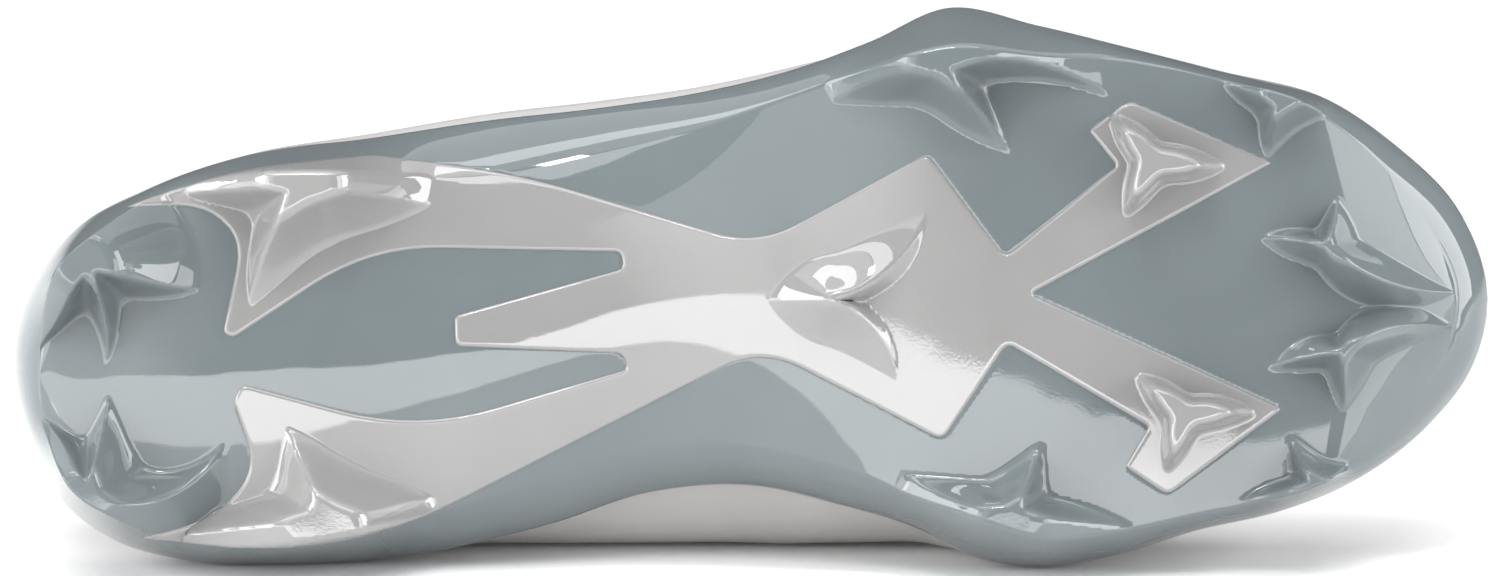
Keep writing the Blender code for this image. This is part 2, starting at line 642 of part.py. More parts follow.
def make_upper(ribs, place):
    rows, count, _ = ribs.shape
    outer = ribs.reshape(-1, 3)
    faces = ring_faces(rows, count)
    normals = vertex_normals(outer, faces)
    middle = np.array([LENGTH / 2, 5, 50])
    if np.sum((outer - middle) * normals) < 0:
        normals = -normals
    low_edge = list(range(count))
    high_edge = list(range((rows - 1) * count, rows * count))
    inner = outer - normals * UPPER_WALL
    points, all_faces = closed_shell(outer, inner, faces, [low_edge, high_edge])
    upper = mesh_object("upper", points, all_faces, "white synthetic")
    for pair in eyelet_places():
        for x, y in pair:
            spot, normal = place((x, y), 0.0)
            bpy.ops.mesh.primitive_cylinder_add(
                vertices=PUNCH_SIDES, radius=EYELET_RADIUS * MM, depth=5 * UPPER_WALL * MM)
            punch = cutter(bpy.context.object)
            punch.name = "lace hole punch"
            punch.rotation_mode = "QUATERNION"
            punch.rotation_quaternion = Vector(normal[0]).to_track_quat("Z", "Y")
            punch.location = Vector(spot[0]) * MM
            boolean(upper, punch, "DIFFERENCE")


def slab(name, top, thickness_vectors, material):
    """A closed sheet from a grid of top points and the vectors down to its underside."""
    rows, columns, _ = top.shape
    flat = top.reshape(-1, 3)
    faces = []
    for r in range(rows - 1):
        for c in range(columns - 1):
            a = r * columns + c
            faces.append([a, a + 1, a + columns + 1, a + columns])
    border = list(range(columns)) + [r * columns + columns - 1 for r in range(1, rows)]
    border += [(rows - 1) * columns + c for c in range(columns - 2, -1, -1)]
    border += [r * columns for r in range(rows - 2, 0, -1)]
    points, all_faces = closed_shell(flat, flat + thickness_vectors.reshape(-1, 3), faces, [border])
    return mesh_object(name, points, all_faces, material)


def make_tongue(place):
    rows = []
    downs = []
    widths = np.array(TONGUE_WIDTHS, float)
    for x in np.linspace(THROAT_TOP - TONGUE_RISE, THROAT_END + TONGUE_TUCK, TONGUE_GRID[0]):
        middle = (throat_edge(x, -1) + throat_edge(x, 1)) / 2
        half = np.interp(x, widths[:, 0], widths[:, 1])
        xy = [(x, middle + half * e) for e in np.linspace(-1, 1, TONGUE_GRID[1])]
        spots, normal = place(xy, -(UPPER_WALL + TONGUE_DROP))
        rows.append(spots)
        downs.append(-normal * TONGUE_THICKNESS)
    slab("tongue", np.array(rows), np.array(downs), "white knit")


def make_insole():
    lateral, medial = crest_lines()
    xs = station_x(lateral[0, 0] + INSOLE_INSET, lateral[-1, 0] - INSOLE_INSET, INSOLE_GRID[0])
    low = np.interp(xs, lateral[:, 0], lateral[:, 1])
    high = np.interp(xs, medial[:, 0], medial[:, 1])
    tops = []
    for k, x in enumerate(xs):
        ys = np.linspace(low[k] + INSOLE_INSET, high[k] - INSOLE_INSET, INSOLE_GRID[1])
        share = (ys - (low[k] + high[k]) / 2) / ((high[k] - low[k]) / 2)
        height, crown = face_profile(np.full(len(ys), x))
        z = height + crown * share**2 + PLATE_WALL + INSOLE_CLEARANCE + INSOLE_THICKNESS
        tops.append(np.column_stack([np.full(len(ys), x), ys, z]))
    tops = np.array(tops)
    down = np.zeros_like(tops)
    down[:, :, 2] = -INSOLE_THICKNESS
    slab("insole", tops, down, "grey foam")


def lace_strand(name, start, end, lift, place):
    """A flat strand lying over the instep from one hole to another."""
    shares = np.linspace(0, 1, LACE_STEPS)
    xy = np.array([np.array(start) * (1 - t) + np.array(end) * t for t in shares])
    direction = (xy[-1] - xy[0]) / np.linalg.norm(xy[-1] - xy[0])
    across = np.array([-direction[1], direction[0]]) * LACE_WIDTH / 2
    tops = []
    downs = []
    for e in (-1, 1):
        spots, normal = place(xy + across * e, lift + LACE_THICKNESS)
        tops.append(spots)
        downs.append(-normal * LACE_THICKNESS)
    return slab(name, np.array(tops), np.array(downs), "white lace")


def make_laces(place):
    """The last bar and the crossings above it, one strand of each crossing riding a little higher."""
    holes = eyelet_places()
    reach = LACE_WIDTH / 2
    first = np.array(holes[-1][0]) + [0, -reach]
    last = np.array(holes[-1][1]) + [0, reach]
    laces = lace_strand("laces", first, last, LACE_LIFT + LACE_STEP / 2, place)
    for row in range(EYELET_ROWS - 1):
        for side in (0, 1):
            start = np.array(holes[row][side])
            end = np.array(holes[row + 1][1 - side])
            past = (end - start) / np.linalg.norm(end - start) * reach
            lift = LACE_LIFT + LACE_STEP * side
            strand = lace_strand("lace strand", start - past, end + past, lift, place)
            boolean(laces, cutter(strand), "UNION")


def lay_down():
    """Turn the shoe onto its inner side and set the middle of its box on the floor."""
    turn = Matrix.Rotation(radians(-90 - LEAN_DEG), 4, "X")
    bpy.context.view_layer.update()
    graph = bpy.context.evaluated_depsgraph_get()
    low = Vector((1e9, 1e9, 1e9))
    high = -low
    pieces = list(bpy.context.scene.objects)
    for piece in pieces:
        if piece.hide_render:
            continue
        for vertex in piece.evaluated_get(graph).data.vertices:
            spot = turn @ vertex.co
            low = Vector(map(min, low, spot))
            high = Vector(map(max, high, spot))
    centre = Vector(((low.x + high.x) / 2, (low.y + high.y) / 2, low.z))
    frame = bpy.data.objects.new("shoe frame", None)
    bpy.context.scene.collection.objects.link(frame)
    frame.matrix_world = Matrix.Translation(-centre) @ turn
    for piece in pieces:
        piece.parent = frame


clear_scene()
make_materials()
make_sole()
RIBS = upper_ribs(UPPER_RIB_STEP)
PLACE = instep_surface(RIBS)
make_upper(RIBS, PLACE)
make_tongue(PLACE)
make_insole()
make_laces(PLACE)
lay_down()
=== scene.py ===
"""The finished look of a moulded football cleat, the right shoe, lying on its inner side.

Shapes are worked out in the shoe's own frame, in millimetres: x from the back of the heel to the toe,
y from the outer (lateral) side to the inner (medial) side, z up from the plane of the stud tips.
"""

from math import atan2, cos, pi, radians, sin

import bmesh
import bpy
import numpy as np
from mathutils import Matrix, Vector
from mathutils.geometry import delaunay_2d_cdt


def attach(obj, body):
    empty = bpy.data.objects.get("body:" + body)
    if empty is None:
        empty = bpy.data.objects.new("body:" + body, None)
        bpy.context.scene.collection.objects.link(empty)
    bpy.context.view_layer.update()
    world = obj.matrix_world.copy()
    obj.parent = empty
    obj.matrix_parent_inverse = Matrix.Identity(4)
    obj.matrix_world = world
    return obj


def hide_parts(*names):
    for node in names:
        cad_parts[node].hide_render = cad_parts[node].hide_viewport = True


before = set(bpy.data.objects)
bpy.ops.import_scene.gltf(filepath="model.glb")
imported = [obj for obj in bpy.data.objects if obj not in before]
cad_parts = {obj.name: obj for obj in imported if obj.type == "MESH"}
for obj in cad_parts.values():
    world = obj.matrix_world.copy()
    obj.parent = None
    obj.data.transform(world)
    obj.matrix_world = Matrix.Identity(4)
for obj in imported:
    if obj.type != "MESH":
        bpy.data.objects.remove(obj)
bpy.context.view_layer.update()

# Driving sizes, in millimetres unless named otherwise
MM = 0.001
LEAN_DEG = 9.3
SHOE_ORIGIN = (-0.14376, -0.05025, 0.05789)
PLATE_WALL = 2.8
UPPER_WALL = 1.8
INSOLE_THICKNESS = 4.0
INSOLE_INSET = 7.0
INSOLE_CLEARANCE = 0.65
INSOLE_ROUND = 1.6
TONGUE_THICKNESS = 3.0
TONGUE_DROP = 0.7
TONGUE_RISE = 22.0
TONGUE_TUCK = 8.0
TONGUE_ROUND = 2.0
LACE_WIDTH = 6.0
LACE_THICKNESS = 1.3
LACE_LIFT = 1.1
LACE_STEP = 0.5
EYELET_RADIUS = 2.2
EYELET_ROWS = 6
EYELET_INSET = 7.0
THROAT_TOP = 120.0
THROAT_END = 207.0
THROAT_MIDDLE = 2.0
EYELET_FIRST = 5.0
EYELET_LAST = 18.0
PUNCH_SIDES = 24
PUNCH_DEPTH = 9.0
SHARP_DEG = 50.0

# Points inside the shoe from which its surfaces and its stitches face away
SHOE_CENTRE = (144.0, 5.0, 50.0)
STITCH_CENTRE = (144.0, 5.0, 30.0)

# The edge of the plate, clockwise from the back of the heel as seen from below. Rim is the top edge of
# the side wall, crest is the line where the side wall meets the bottom face.
PLATE_STATIONS = [
    # name, rim x, rim y, rim z, crest x, crest y
    ("heel back", 0.0, 15.5, 34, 5.4, 15.9),
    ("heel corner lateral", 3.9, -1.4, 33, 8.7, -2.5),
    ("heel lateral", 13.6, -13.2, 31, 16.5, -10.6),
    ("wing lateral", 25.2, -19.4, 30, 26.6, -17.4),
    ("heel side lateral", 44.7, -26.2, 31, 44.9, -21.9),
    ("shank lateral", 69.9, -29.7, 33, 69.9, -22.5),
    ("waist lateral", 93.2, -33.2, 34, 93.2, -21.6),
    ("arch lateral", 114.6, -35.6, 33, 114.6, -25.8),
    ("rear ball lateral", 134.0, -38.6, 31, 134.0, -31.5),
    ("ball rise lateral", 153.4, -43.4, 28, 153.4, -38.3),
    ("ball flank lateral", 167.0, -48.4, 26, 167.0, -43.3),
    ("ball lateral", 182.5, -55.0, 25, 183.5, -47.2),
    ("front ball lateral", 200.0, -51.5, 25, 200.0, -45.8),
    ("vamp lateral", 217.5, -47.3, 26, 217.5, -44.6),
    ("forefoot lateral", 235.0, -42.9, 28, 235.0, -40.9),
    ("toe joint lateral", 256.3, -37.3, 31, 253.4, -35.2),
    ("toe side lateral", 269.9, -28.2, 34, 267.0, -24.3),
    ("toe corner lateral", 281.6, -16.5, 36, 275.9, -12.3),
    ("toe", 288.0, 1.9, 38, 281.2, 1.9),
    ("toe corner medial", 284.5, 15.9, 37, 277.9, 14.3),
    ("toe side medial", 276.7, 26.0, 35, 270.5, 22.9),
    ("toe joint medial", 259.3, 38.5, 31, 256.0, 36.8),
    ("forefoot medial", 246.6, 43.3, 29, 244.7, 40.8),
    ("vamp medial", 231.1, 46.8, 27, 231.1, 43.6),
    ("front ball medial", 213.6, 52.0, 26, 213.6, 47.2),
    ("ball medial", 199.1, 54.0, 26, 200.0, 47.8),
    ("rear ball medial", 187.4, 52.0, 27, 189.3, 44.7),
    ("ball flank medial", 176.7, 46.6, 28, 175.7, 40.2),
    ("arch front medial", 161.2, 41.9, 29, 163.1, 35.0),
    ("arch medial", 143.7, 38.1, 30, 143.7, 30.1),
    ("waist medial", 124.3, 39.4, 31, 124.3, 30.1),
    ("shank medial", 104.9, 45.6, 32, 104.9, 35.9),
    ("wing medial", 81.6, 51.1, 32, 85.4, 42.3),
    ("heel side medial", 52.4, 53.6, 31, 52.4, 49.1),
    ("heel flank medial", 33.0, 52.6, 30, 33.0, 48.6),
    ("heel curve medial", 19.4, 48.7, 31, 21.4, 44.3),
    ("heel medial", 9.7, 41.4, 32, 12.6, 38.9),
    ("heel corner medial", 3.5, 30.1, 33, 7.4, 28.6),
]

# The bottom face along the shoe: its height at the middle and how far its edges rise above that
FACE_PROFILE = [
    # x, height, crown
    (5, 16.0, 1.0),
    (18, 13.2, 2.4),
    (55, 13.0, 3.6),
    (85, 15.5, 4.6),
    (120, 18.0, 4.6),
    (150, 15.5, 2.6),
    (180, 12.4, 1.0),
    (215, 12.2, 0.8),
    (240, 14.6, 1.0),
    (262, 19.6, 1.4),
    (281, 27.5, 1.6),
]

# The upper: how far it swells past the plate's rim, the height of that widest line, and its edge
# along collar and throat, with the slope of the wall where it meets the edge
UPPER_STATIONS = [
    # plate station, swell, wide z, edge x, edge y, edge z, slope
    ("heel back", 0.8, 56, 9.0, 15.5, 92, 88),
    ("heel lateral", 0.2, 52, 22.0, -5.5, 88, 88),
    ("heel side lateral", 0.2, 48, 46.0, -13.0, 77, 84),
    ("shank lateral", 1.0, 46, 68.0, -15.0, 73, 78),
    ("waist lateral", 1.4, 46, 93.0, -13.5, 86, 68),
    ("arch lateral", 1.5, 45, 117.0, -9.0, 103, 52),
    ("rear ball lateral", 1.2, 42, 138.0, -9.5, 96, 44),
    ("ball rise lateral", 0.6, 40, 156.0, -9.5, 89, 40),
    ("ball lateral", -3.6, 38, 180.0, -9.5, 80, 34),
    ("vamp lateral", -1.0, 39, 197.0, -8.5, 73.5, 26),
    ("toe joint lateral", -1.4, 44, 204.5, -4.5, 70.5, 14),
    ("toe", -1.8, 50, THROAT_END, 2.0, 69.5, 6),
    ("toe joint medial", -1.4, 45, 204.5, 8.5, 70.5, 14),
    ("vamp medial", -1.0, 40, 197.0, 12.5, 73.5, 26),
    ("ball medial", -4.4, 45, 180.0, 14.5, 80.5, 34),
    ("ball flank medial", 2.9, 48, 156.0, 17.5, 90, 40),
    ("arch medial", 11.4, 50, 138.0, 20.5, 97.5, 46),
    ("waist medial", 10.1, 50, 117.0, 23.5, 104, 54),
    ("shank medial", 4.0, 50, 93.0, 33.0, 87, 70),
    ("wing medial", -1.5, 50, 68.0, 38.5, 74, 80),
    ("heel side medial", -4.0, 50, 46.0, 40.0, 77, 84),
    ("heel medial", -1.4, 54, 22.0, 35.5, 88, 88),
]

# Half the tongue's width along the shoe
TONGUE_WIDTHS = [
    # x, half width
    (98, 8.5),
    (98.8, 10.5),
    (100, 12.0),
    (102, 13.4),
    (105, 14.3),
    (122, 15.5),
    (150, 20.0),
    (207, 18.0),
    (215, 16.0),
]

# Studs: three curved ridges run from a flat three-armed tip out to their feet in the bottom face. Bend
# is how far, sideways, an arm's middle is pushed off the straight line. Waist is how far the hollow
# side reaches that follows the arm, turning from x towards y. Flat is the tip's share of the whole.
STUDS = [
    # name, tip x, tip y, tip z, flat, (foot x, foot y, bend, waist) three times
    ("heel rear lateral", 14.4, -5.2, 0.0, 0.30,
     ((36.9, 0.0, 1.0, 11.0), (18.6, 14.2, -2.0, 10.0), (4.8, 11.6, -1.0, 20.0))),
    ("heel rear medial", 15.1, 39.2, 0.0, 0.26,
     ((41.8, 29.1, 6.5, 22.0), (6.2, 24.9, 1.0, 11.0), (19.0, 20.4, 0.5, 12.0))),
    ("heel front lateral", 56.7, -20.4, 0.0, 0.30,
     ((82.0, -16.5, 0.0, 13.0), (46.6, 3.4, 1.5, 12.0), (33.5, -18.6, 0.0, 26.0))),
    ("heel front medial", 61.8, 44.4, 0.0, 0.30,
     ((82.5, 40.4, 0.0, 26.0), (27.2, 48.2, 0.0, 13.0), (53.6, 26.4, 0.0, 12.0))),
    ("ball lateral", 180.6, -43.3, 0.0, 0.28,
     ((214.0, -37.3, -4.0, 10.0), (194.4, -26.8, 0.0, 8.5), (159.6, -36.5, 1.5, 26.0))),
    ("ball medial", 194.6, 43.3, 0.0, 0.28,
     ((218.0, 46.2, 0.0, 26.0), (173.0, 35.4, -1.5, 8.0), (200.2, 30.0, 0.5, 8.0))),
    ("toe joint lateral", 246.6, -36.0, 7.0, 0.34,
     ((258.0, -36.0, 0.0, 6.0), (244.3, -25.8, 0.5, 5.0), (235.6, -40.2, 0.0, 14.0))),
    ("toe joint medial", 253.4, 37.6, 7.5, 0.34,
     ((263.5, 35.4, 0.0, 14.0), (238.9, 40.8, 0.0, 5.0), (248.6, 28.6, -0.5, 5.0))),
    ("toe lateral", 255.4, -8.7, 8.5, 0.22,
     ((281.6, 0.4, 2.7, 4.5), (242.6, -10.3, 0.5, 3.6), (257.8, -18.2, 0.5, 7.0))),
    ("toe medial", 258.7, 12.0, 9.0, 0.22,
     ((281.6, 7.8, -2.9, 7.0), (259.4, 23.4, 0.0, 5.0), (244.2, 15.2, 0.5, 3.8))),
    ("arm lateral", 221.4, -25.2, 1.5, 0.70,
     ((236.0, -24.0, 0.4, 5.2), (216.6, -14.4, 0.0, 4.0), (213.6, -34.2, 0.0, 3.8))),
    ("arm medial", 227.8, 24.3, 1.5, 0.70,
     ((241.8, 24.0, -0.4, 4.4), (224.6, 35.4, 0.0, 4.2), (218.8, 16.4, 0.0, 4.0))),
    ("chevron", 160.0, 1.8, 8.5, 0.12,
     ((172.4, 18.0, -2.6, 9.0), (147.0, 1.9, 0.0, 9.0), (178.2, -15.6, 3.0, 6.0))),
]
STUD_POWER = 1.4
STUD_POINT = 2.4
EDGE_SOFT = 0.08

# The side wall's curve from crest to rim, and how fast a stud fades up it
WALL_BELLY_OUT = 0.7
WALL_BELLY_UP = 0.25
STUD_FADE = 1.6

# The silver insert's outline, with the radius of each corner, seen from below and clockwise
INSERT_OUTLINE = [
    # x, y, radius
    (21.8, -16.0, 0.6), (37.5, -16.6, 9.0), (45.0, -9.6, 6.0), (41.2, 8.4, 1.4), (43.4, 9.4, 1.2),
    (70.0, -8.4, 14.0), (118.6, -7.4, 1.4), (119.0, -4.2, 1.3), (86.2, 5.0, 1.2), (86.4, 11.0, 1.4),
    (118.8, 12.4, 1.3), (119.8, 15.4, 1.2), (79.0, 27.4, 16.0), (45.0, 18.2, 1.6), (43.2, 21.6, 2.0),
    (47.8, 35.0, 8.0), (39.0, 44.6, 8.0), (25.0, 48.2, 0.8), (52.0, 51.0, 14.0), (75.7, 46.8, 14.0),
    (146.0, 11.2, 9.0), (181.2, 29.4, 2.2), (193.6, 10.4, 1.9), (221.2, 26.6, 1.0), (216.5, 34.4, 1.0),
    (224.9, 40.0, 1.9), (247.4, 23.1, 1.2), (198.2, 0.8, 1.2), (245.5, -24.7, 1.2), (217.2, -36.8, 1.9),
    (209.4, -30.9, 0.9), (215.0, -24.1, 1.0), (193.2, -6.4, 2.0), (178.3, -26.6, 1.8), (145.1, -8.6, 9.0),
    (99.0, -22.6, 12.0), (70.5, -26.4, 2.0), (44.7, -23.6, 10.0), (27.0, -18.0, 2.0),
]
INSERT_RAISE = 0.40
INSERT_SINK = 0.40
INSERT_ROUND = 0.70
INSERT_RINGS = (0.06, 0.14, 0.26, 0.40, 0.58, 0.85, 1.2)
INSERT_GRID = 0.8
INSERT_EDGE_STEP = 0.35
INSERT_WELD = 1e-5
RING_SLACK = 0.03
SIDE_PROBE = 0.05
INSIDE_MARGIN = 0.01
CORNER_SHARE = 0.45
TRIANGLE_ROW = 0.866
STUD_GRIDS = [
    # stud, radius, spacing
    ("arm lateral", 16.0, 0.30),
    ("arm medial", 16.0, 0.30),
    ("chevron", 24.0, 0.42),
    ("heel front lateral", 30.0, 0.42),
    ("heel front medial", 36.0, 0.42),
]
STEEP_STUDS = ("arm lateral", "arm medial")
STEEP_REACH = 16.0
SOFTEN_TIMES = 5

# The hollow in the plate under the insert: how far inside the outline it starts, its width and depth
HOLLOW_FROM = 0.5
HOLLOW_EASE = 1.0
PLATE_HOLLOW = 1.0

# How finely the surfaces are divided, and how far stations bunch up at the shoe's rounded ends
PLATE_ROWS = 460
PLATE_COLUMNS = 140
WALL_ROWS = 16
PLATE_INSIDE_GRID = (110, 30, 4)
TUCKED_ROWS = 6
SWELL_STEPS = 10
TOP_STEPS = 30
RIB_ROWS = 300
COARSE_RIB_ROWS = 110
TONGUE_GRID = (150, 60)
INSOLE_GRID = (200, 60)
EDGE_ROUND_STEPS = 5
SHAPE_SAMPLES = 24
CORNER_STEPS = 9
STATION_EASE = 0.65

# How high the rolled edges stand, as a share of the plate's wall and in millimetres on the upper
RIM_ROUND = 0.35
COLLAR_ROLL = 0.8

# Steps over which slopes are measured, and distances at which points are welded
SLOPE_STEP = 0.03
INSTEP_STEP = 0.5
WELD = 0.02
LACE_WELD = 0.0001

# The search for a place on the side wall: where it starts, how often and how finely it steps, and the
# longest stride round the plate and up the wall
WALL_SEARCH_START = 0.3
WALL_SEARCH_STEPS = 12
WALL_SEARCH_STEP = 0.02
WALL_STRIDES = (4.0, 0.2)

# The upper's curves up to the widest line and on to the edge, and its gap to the plate
SWELL_HANDLE = 0.35
TOP_HANDLE = 0.38
UPPER_CLEARANCE = 0.55

# The surface over the instep: which of the upper's points carry it, and the spline through them
INSTEP_MARGIN = 6.0
INSTEP_LOWEST = 60.0
EDGE_MARGIN = 4.0
SPLINE_SCALE = 50.0
SPLINE_EASE = 1e-5

# The collar's padding and knit band, the eyestay's seam and the seam up the back
COLLAR_PAD = 2.2
COLLAR_PAD_DEPTH = 0.45
COLLAR_PAD_TURN = 0.8
COLLAR_MARGIN = 8.0
COLLAR_FADE = 30.0
COLLAR_END = 112.0
BAND_ROWS = 4
EYESTAY_ROWS = 7
SEAM_DEPTH = 0.45
SEAM_WIDTH = 1.1
SEAM_FIRST_ROW = 4
SEAM_STEP = 0.6

# Soft creases over the vamp, worn in by walking: a bowed line across the shoe, seen from above
VAMP_CREASES = [
    # middle x, middle y, bow towards the toe, half length, depth, half width
    (222.0, 2.0, -7.0, 30.0, 0.55, 2.6),
    (230.0, -2.0, -6.0, 27.0, 0.45, 2.2),
    (238.5, 1.0, -5.0, 22.0, 0.30, 2.4),
]
CREASE_LOWEST = 42.0
CREASE_FADE = 12.0

# Rows of stitches: gap from one to the next, then the length, width and height of each
STITCH_GAP = 3.0
STITCH_SIZE = (2.2, 0.7, 0.5)
STITCH_ENDS = (0.04, 0.96)
STITCH_RINGS = 7
STITCH_SIDES = 8

# A lace strand: how high its end steps lie as it dives into a hole, how far it is pinched there, over
# how many steps both are evened, and how finely it is divided along and round
LACE_DIVE = (-5.0, -4.0, -2.8, -1.2, 0.2)
LACE_PINCH = 0.55
LACE_DIVE_EVENED = 5
LACE_PINCH_EVENED = 9
LACE_STEPS = 40
LACE_SIDES = 20
LACE_SQUARE = 0.7


def unit(vectors):
    return vectors / np.linalg.norm(vectors, axis=1)[:, None]


def smooth_values(knots, values, at, period=None):
    """Cubic curve through a table's values; a period closes it into a loop."""
    knots = np.asarray(knots, float)
    values = np.asarray(values, float).reshape(len(knots), -1)
    if period:
        knots = np.concatenate([knots[-2:] - period, knots, knots[:3] + period])
        values = np.concatenate([values[-2:], values, values[:3]])
    slopes = np.gradient(values, knots, axis=0)
    spot = np.clip(np.searchsorted(knots, at, side="right") - 1, 0, len(knots) - 2)
    span = (knots[spot + 1] - knots[spot])[:, None]
    t = (np.asarray(at) - knots[spot])[:, None] / span
    start = values[spot] * (1 + 2 * t) * (1 - t) ** 2 + slopes[spot] * span * t * (1 - t) ** 2
    end = values[spot + 1] * t**2 * (3 - 2 * t) + slopes[spot + 1] * span * t**2 * (t - 1)
    return start + end


def plate_knots():
    """Distance round the rim at each station, and the whole way round."""
    rim = np.array([row[1:3] for row in PLATE_STATIONS])
    steps = np.linalg.norm(np.roll(rim, -1, axis=0) - rim, axis=1)
    return np.concatenate([[0.0], np.cumsum(steps)[:-1]]), steps.sum()


def plate_edge(around):
    """Rim x, y, z and crest x, y at distances round the plate."""
    knots, period = plate_knots()
    table = [row[1:] for row in PLATE_STATIONS]
    return smooth_values(knots, table, np.mod(around, period), period)


def face_profile(x):
    """Height and crown of the bottom face at x."""
    table = np.array(FACE_PROFILE, float)
    x = np.clip(x, table[0, 0], table[-1, 0])
    rows = smooth_values(table[:, 0], table[:, 1:], x)
    return rows[:, 0], rows[:, 1]


def crest_lines():
    """Both halves of the crest as (x, y, distance round), each from heel to toe."""
    knots, period = plate_knots()
    around = np.linspace(0, period, SHAPE_SAMPLES * len(knots), endpoint=False)
    edge = plate_edge(around)
    heel = int(np.argmin(edge[:, 3]))
    around = np.roll(around, -heel)
    edge = np.roll(edge, -heel, axis=0)
    around = np.where(around < around[0], around + period, around)
    toe = int(np.argmax(edge[:, 3]))
    lateral = np.column_stack([edge[: toe + 1, 3:5], around[: toe + 1]])
    closing = [[edge[0, 3], edge[0, 4], around[0] + period]]
    medial = np.concatenate([np.column_stack([edge[toe:, 3:5], around[toe:]]), closing])[::-1]
    return lateral, medial


LATERAL_CREST, MEDIAL_CREST = crest_lines()


def crest_limits(x):
    """The y of the lateral and the medial crest at x."""
    low = np.interp(x, LATERAL_CREST[:, 0], LATERAL_CREST[:, 1])
    return low, np.interp(x, MEDIAL_CREST[:, 0], MEDIAL_CREST[:, 1])


def crest_around(x, crest):
    """Distance round the plate where one half of the crest passes x."""
    return np.interp(x, crest[:, 0], crest[:, 2])


def stud_depth(points):
    """How far the studs reach below the bare bottom face, down to their flat tips."""
    depth = np.zeros(len(points))
    for _, tip_x, tip_y, tip_z, flat, arms in STUDS:
        across = points[:, :2] - [tip_x, tip_y]
        away = np.hypot(across[:, 0], across[:, 1])
        lengths = [np.hypot(arm[0] - tip_x, arm[1] - tip_y) for arm in arms]
        near = away < max(lengths)
        away = away[near]
        bearing = np.arctan2(across[near, 1], across[near, 0])
        bearings = []
        for (foot_x, foot_y, bend, _), length in zip(arms, lengths):
            swing = 4 * bend / length * (1 - np.minimum(away / length, 1))
            bearings.append(atan2(foot_y - tip_y, foot_x - tip_x) + swing)
        reach = np.full(len(away), 1e-3)
        for k, arm in enumerate(arms):
            after = (k + 1) % 3
            width = np.mod(bearings[after] - bearings[k], 2 * pi)
            share = np.mod(bearing - bearings[k], 2 * pi) / width
            ends = np.where(share < 0.5, lengths[k], lengths[after])
            spread = arm[3] + (ends - arm[3]) * np.abs(1 - 2 * np.minimum(share, 1)) ** STUD_POINT
            reach = np.where(share <= 1, spread, reach)
        height = (1 - away / reach) / (1 - flat)
        rise = np.clip(soft_cap(height, EDGE_SOFT / (1 - flat)), 0, None) ** STUD_POWER
        depth[near] = np.maximum(depth[near], rise * (points[near, 2] - tip_z))
    return depth


def soft_cap(value, soft):
    """Value held to 1, with the corner rounded off over a short stretch."""
    over = np.clip((value - 1 + soft) / (2 * soft), 0, 1)
    return np.where(value > 1 + soft, 1.0, value - over**2 * soft)


def station_x(first, last, rows):
    """Stations along the shoe, closer together at the rounded ends."""
    t = np.linspace(0, 1, rows + 1)
    eased = (1 - np.cos(pi * t)) / 2
    return first + (last - first) * ((1 - STATION_EASE) * t + STATION_EASE * eased)


def wall_ring(crest, rim, t):
    """The side wall's ring at share t from crest to rim."""
    belly = np.array([WALL_BELLY_OUT, WALL_BELLY_OUT, WALL_BELLY_UP])
    corner = crest * (1 - belly) + rim * belly
    return crest * (1 - t) ** 2 + corner * 2 * t * (1 - t) + rim * t**2


def quads_between(first, second, closed=False):
    """Quads that join two rows of vertex numbers."""
    if closed:
        first = np.append(first, first[0])
        second = np.append(second, second[0])
    return np.column_stack([first[:-1], second[:-1], second[1:], first[1:]])


def plate_surface(rows, columns, wall_rows):
    """Points and quads of the plate's outer skin without studs, the depth of its studs, its rim loop
    and the distance round the plate of each vertex of that loop."""
    xs = station_x(LATERAL_CREST[0, 0], LATERAL_CREST[-1, 0], rows)
    low, high = crest_limits(xs)
    share = np.linspace(-1, 1, columns + 1)
    inner = slice(1, rows)
    middle = ((low + high) / 2)[inner, None]
    half = ((high - low) / 2)[inner, None]
    grid_x = np.repeat(xs[inner, None], columns + 1, axis=1)
    grid_y = middle + half * share
    eta = np.broadcast_to(share**2, grid_x.shape)
    points = np.column_stack([grid_x.ravel(), grid_y.ravel(), eta.ravel()])
    points = np.concatenate([[[xs[0], low[0], 1.0]], points, [[xs[-1], low[-1], 1.0]]])
    height, crown = face_profile(points[:, 0])
    points[:, 2] = height + crown * points[:, 2]
    last = len(points) - 1
    ids = np.arange(1, last).reshape(rows - 1, columns + 1)
    ids = np.concatenate([np.zeros((1, columns + 1), int), ids, np.full((1, columns + 1), last)])
    quads = [quads_between(ids[row], ids[row + 1]) for row in range(rows)]
    loop = np.concatenate([ids[:, 0], ids[1:-1, -1][::-1]])
    back = crest_around(xs[1:-1], MEDIAL_CREST)[::-1]
    around = np.concatenate([crest_around(xs, LATERAL_CREST), back])
    crest = points[loop]
    rim = plate_edge(around)[:, :3]
    face_depth = stud_depth(points)
    skin = [points]
    depth = [face_depth]
    previous = loop
    for j in range(1, wall_rows + 1):
        t = j / wall_rows
        current = np.arange(len(loop)) + last + 1 + (j - 1) * len(loop)
        skin.append(wall_ring(crest, rim, t))
        depth.append(face_depth[loop] * (1 - t) ** STUD_FADE)
        quads.append(quads_between(previous, current, closed=True))
        previous = current
    return np.concatenate(skin), np.concatenate(quads), np.concatenate(depth), previous, around


def vertex_normals(points, quads):
    """Unit normals, averaged from the quads round each vertex."""
    a, b, c, d = (points[quads[:, k]] for k in range(4))
    crosses = np.cross(c - a, d - b)
    normals = np.zeros_like(points)
    for corner in range(4):
        np.add.at(normals, quads[:, corner], crosses)
    return normals / np.maximum(np.linalg.norm(normals, axis=1), 1e-12)[:, None]


def upward_normals(points, quads):
    normals = vertex_normals(points, quads)
    return -normals if normals[:, 2].mean() < 0 else normals


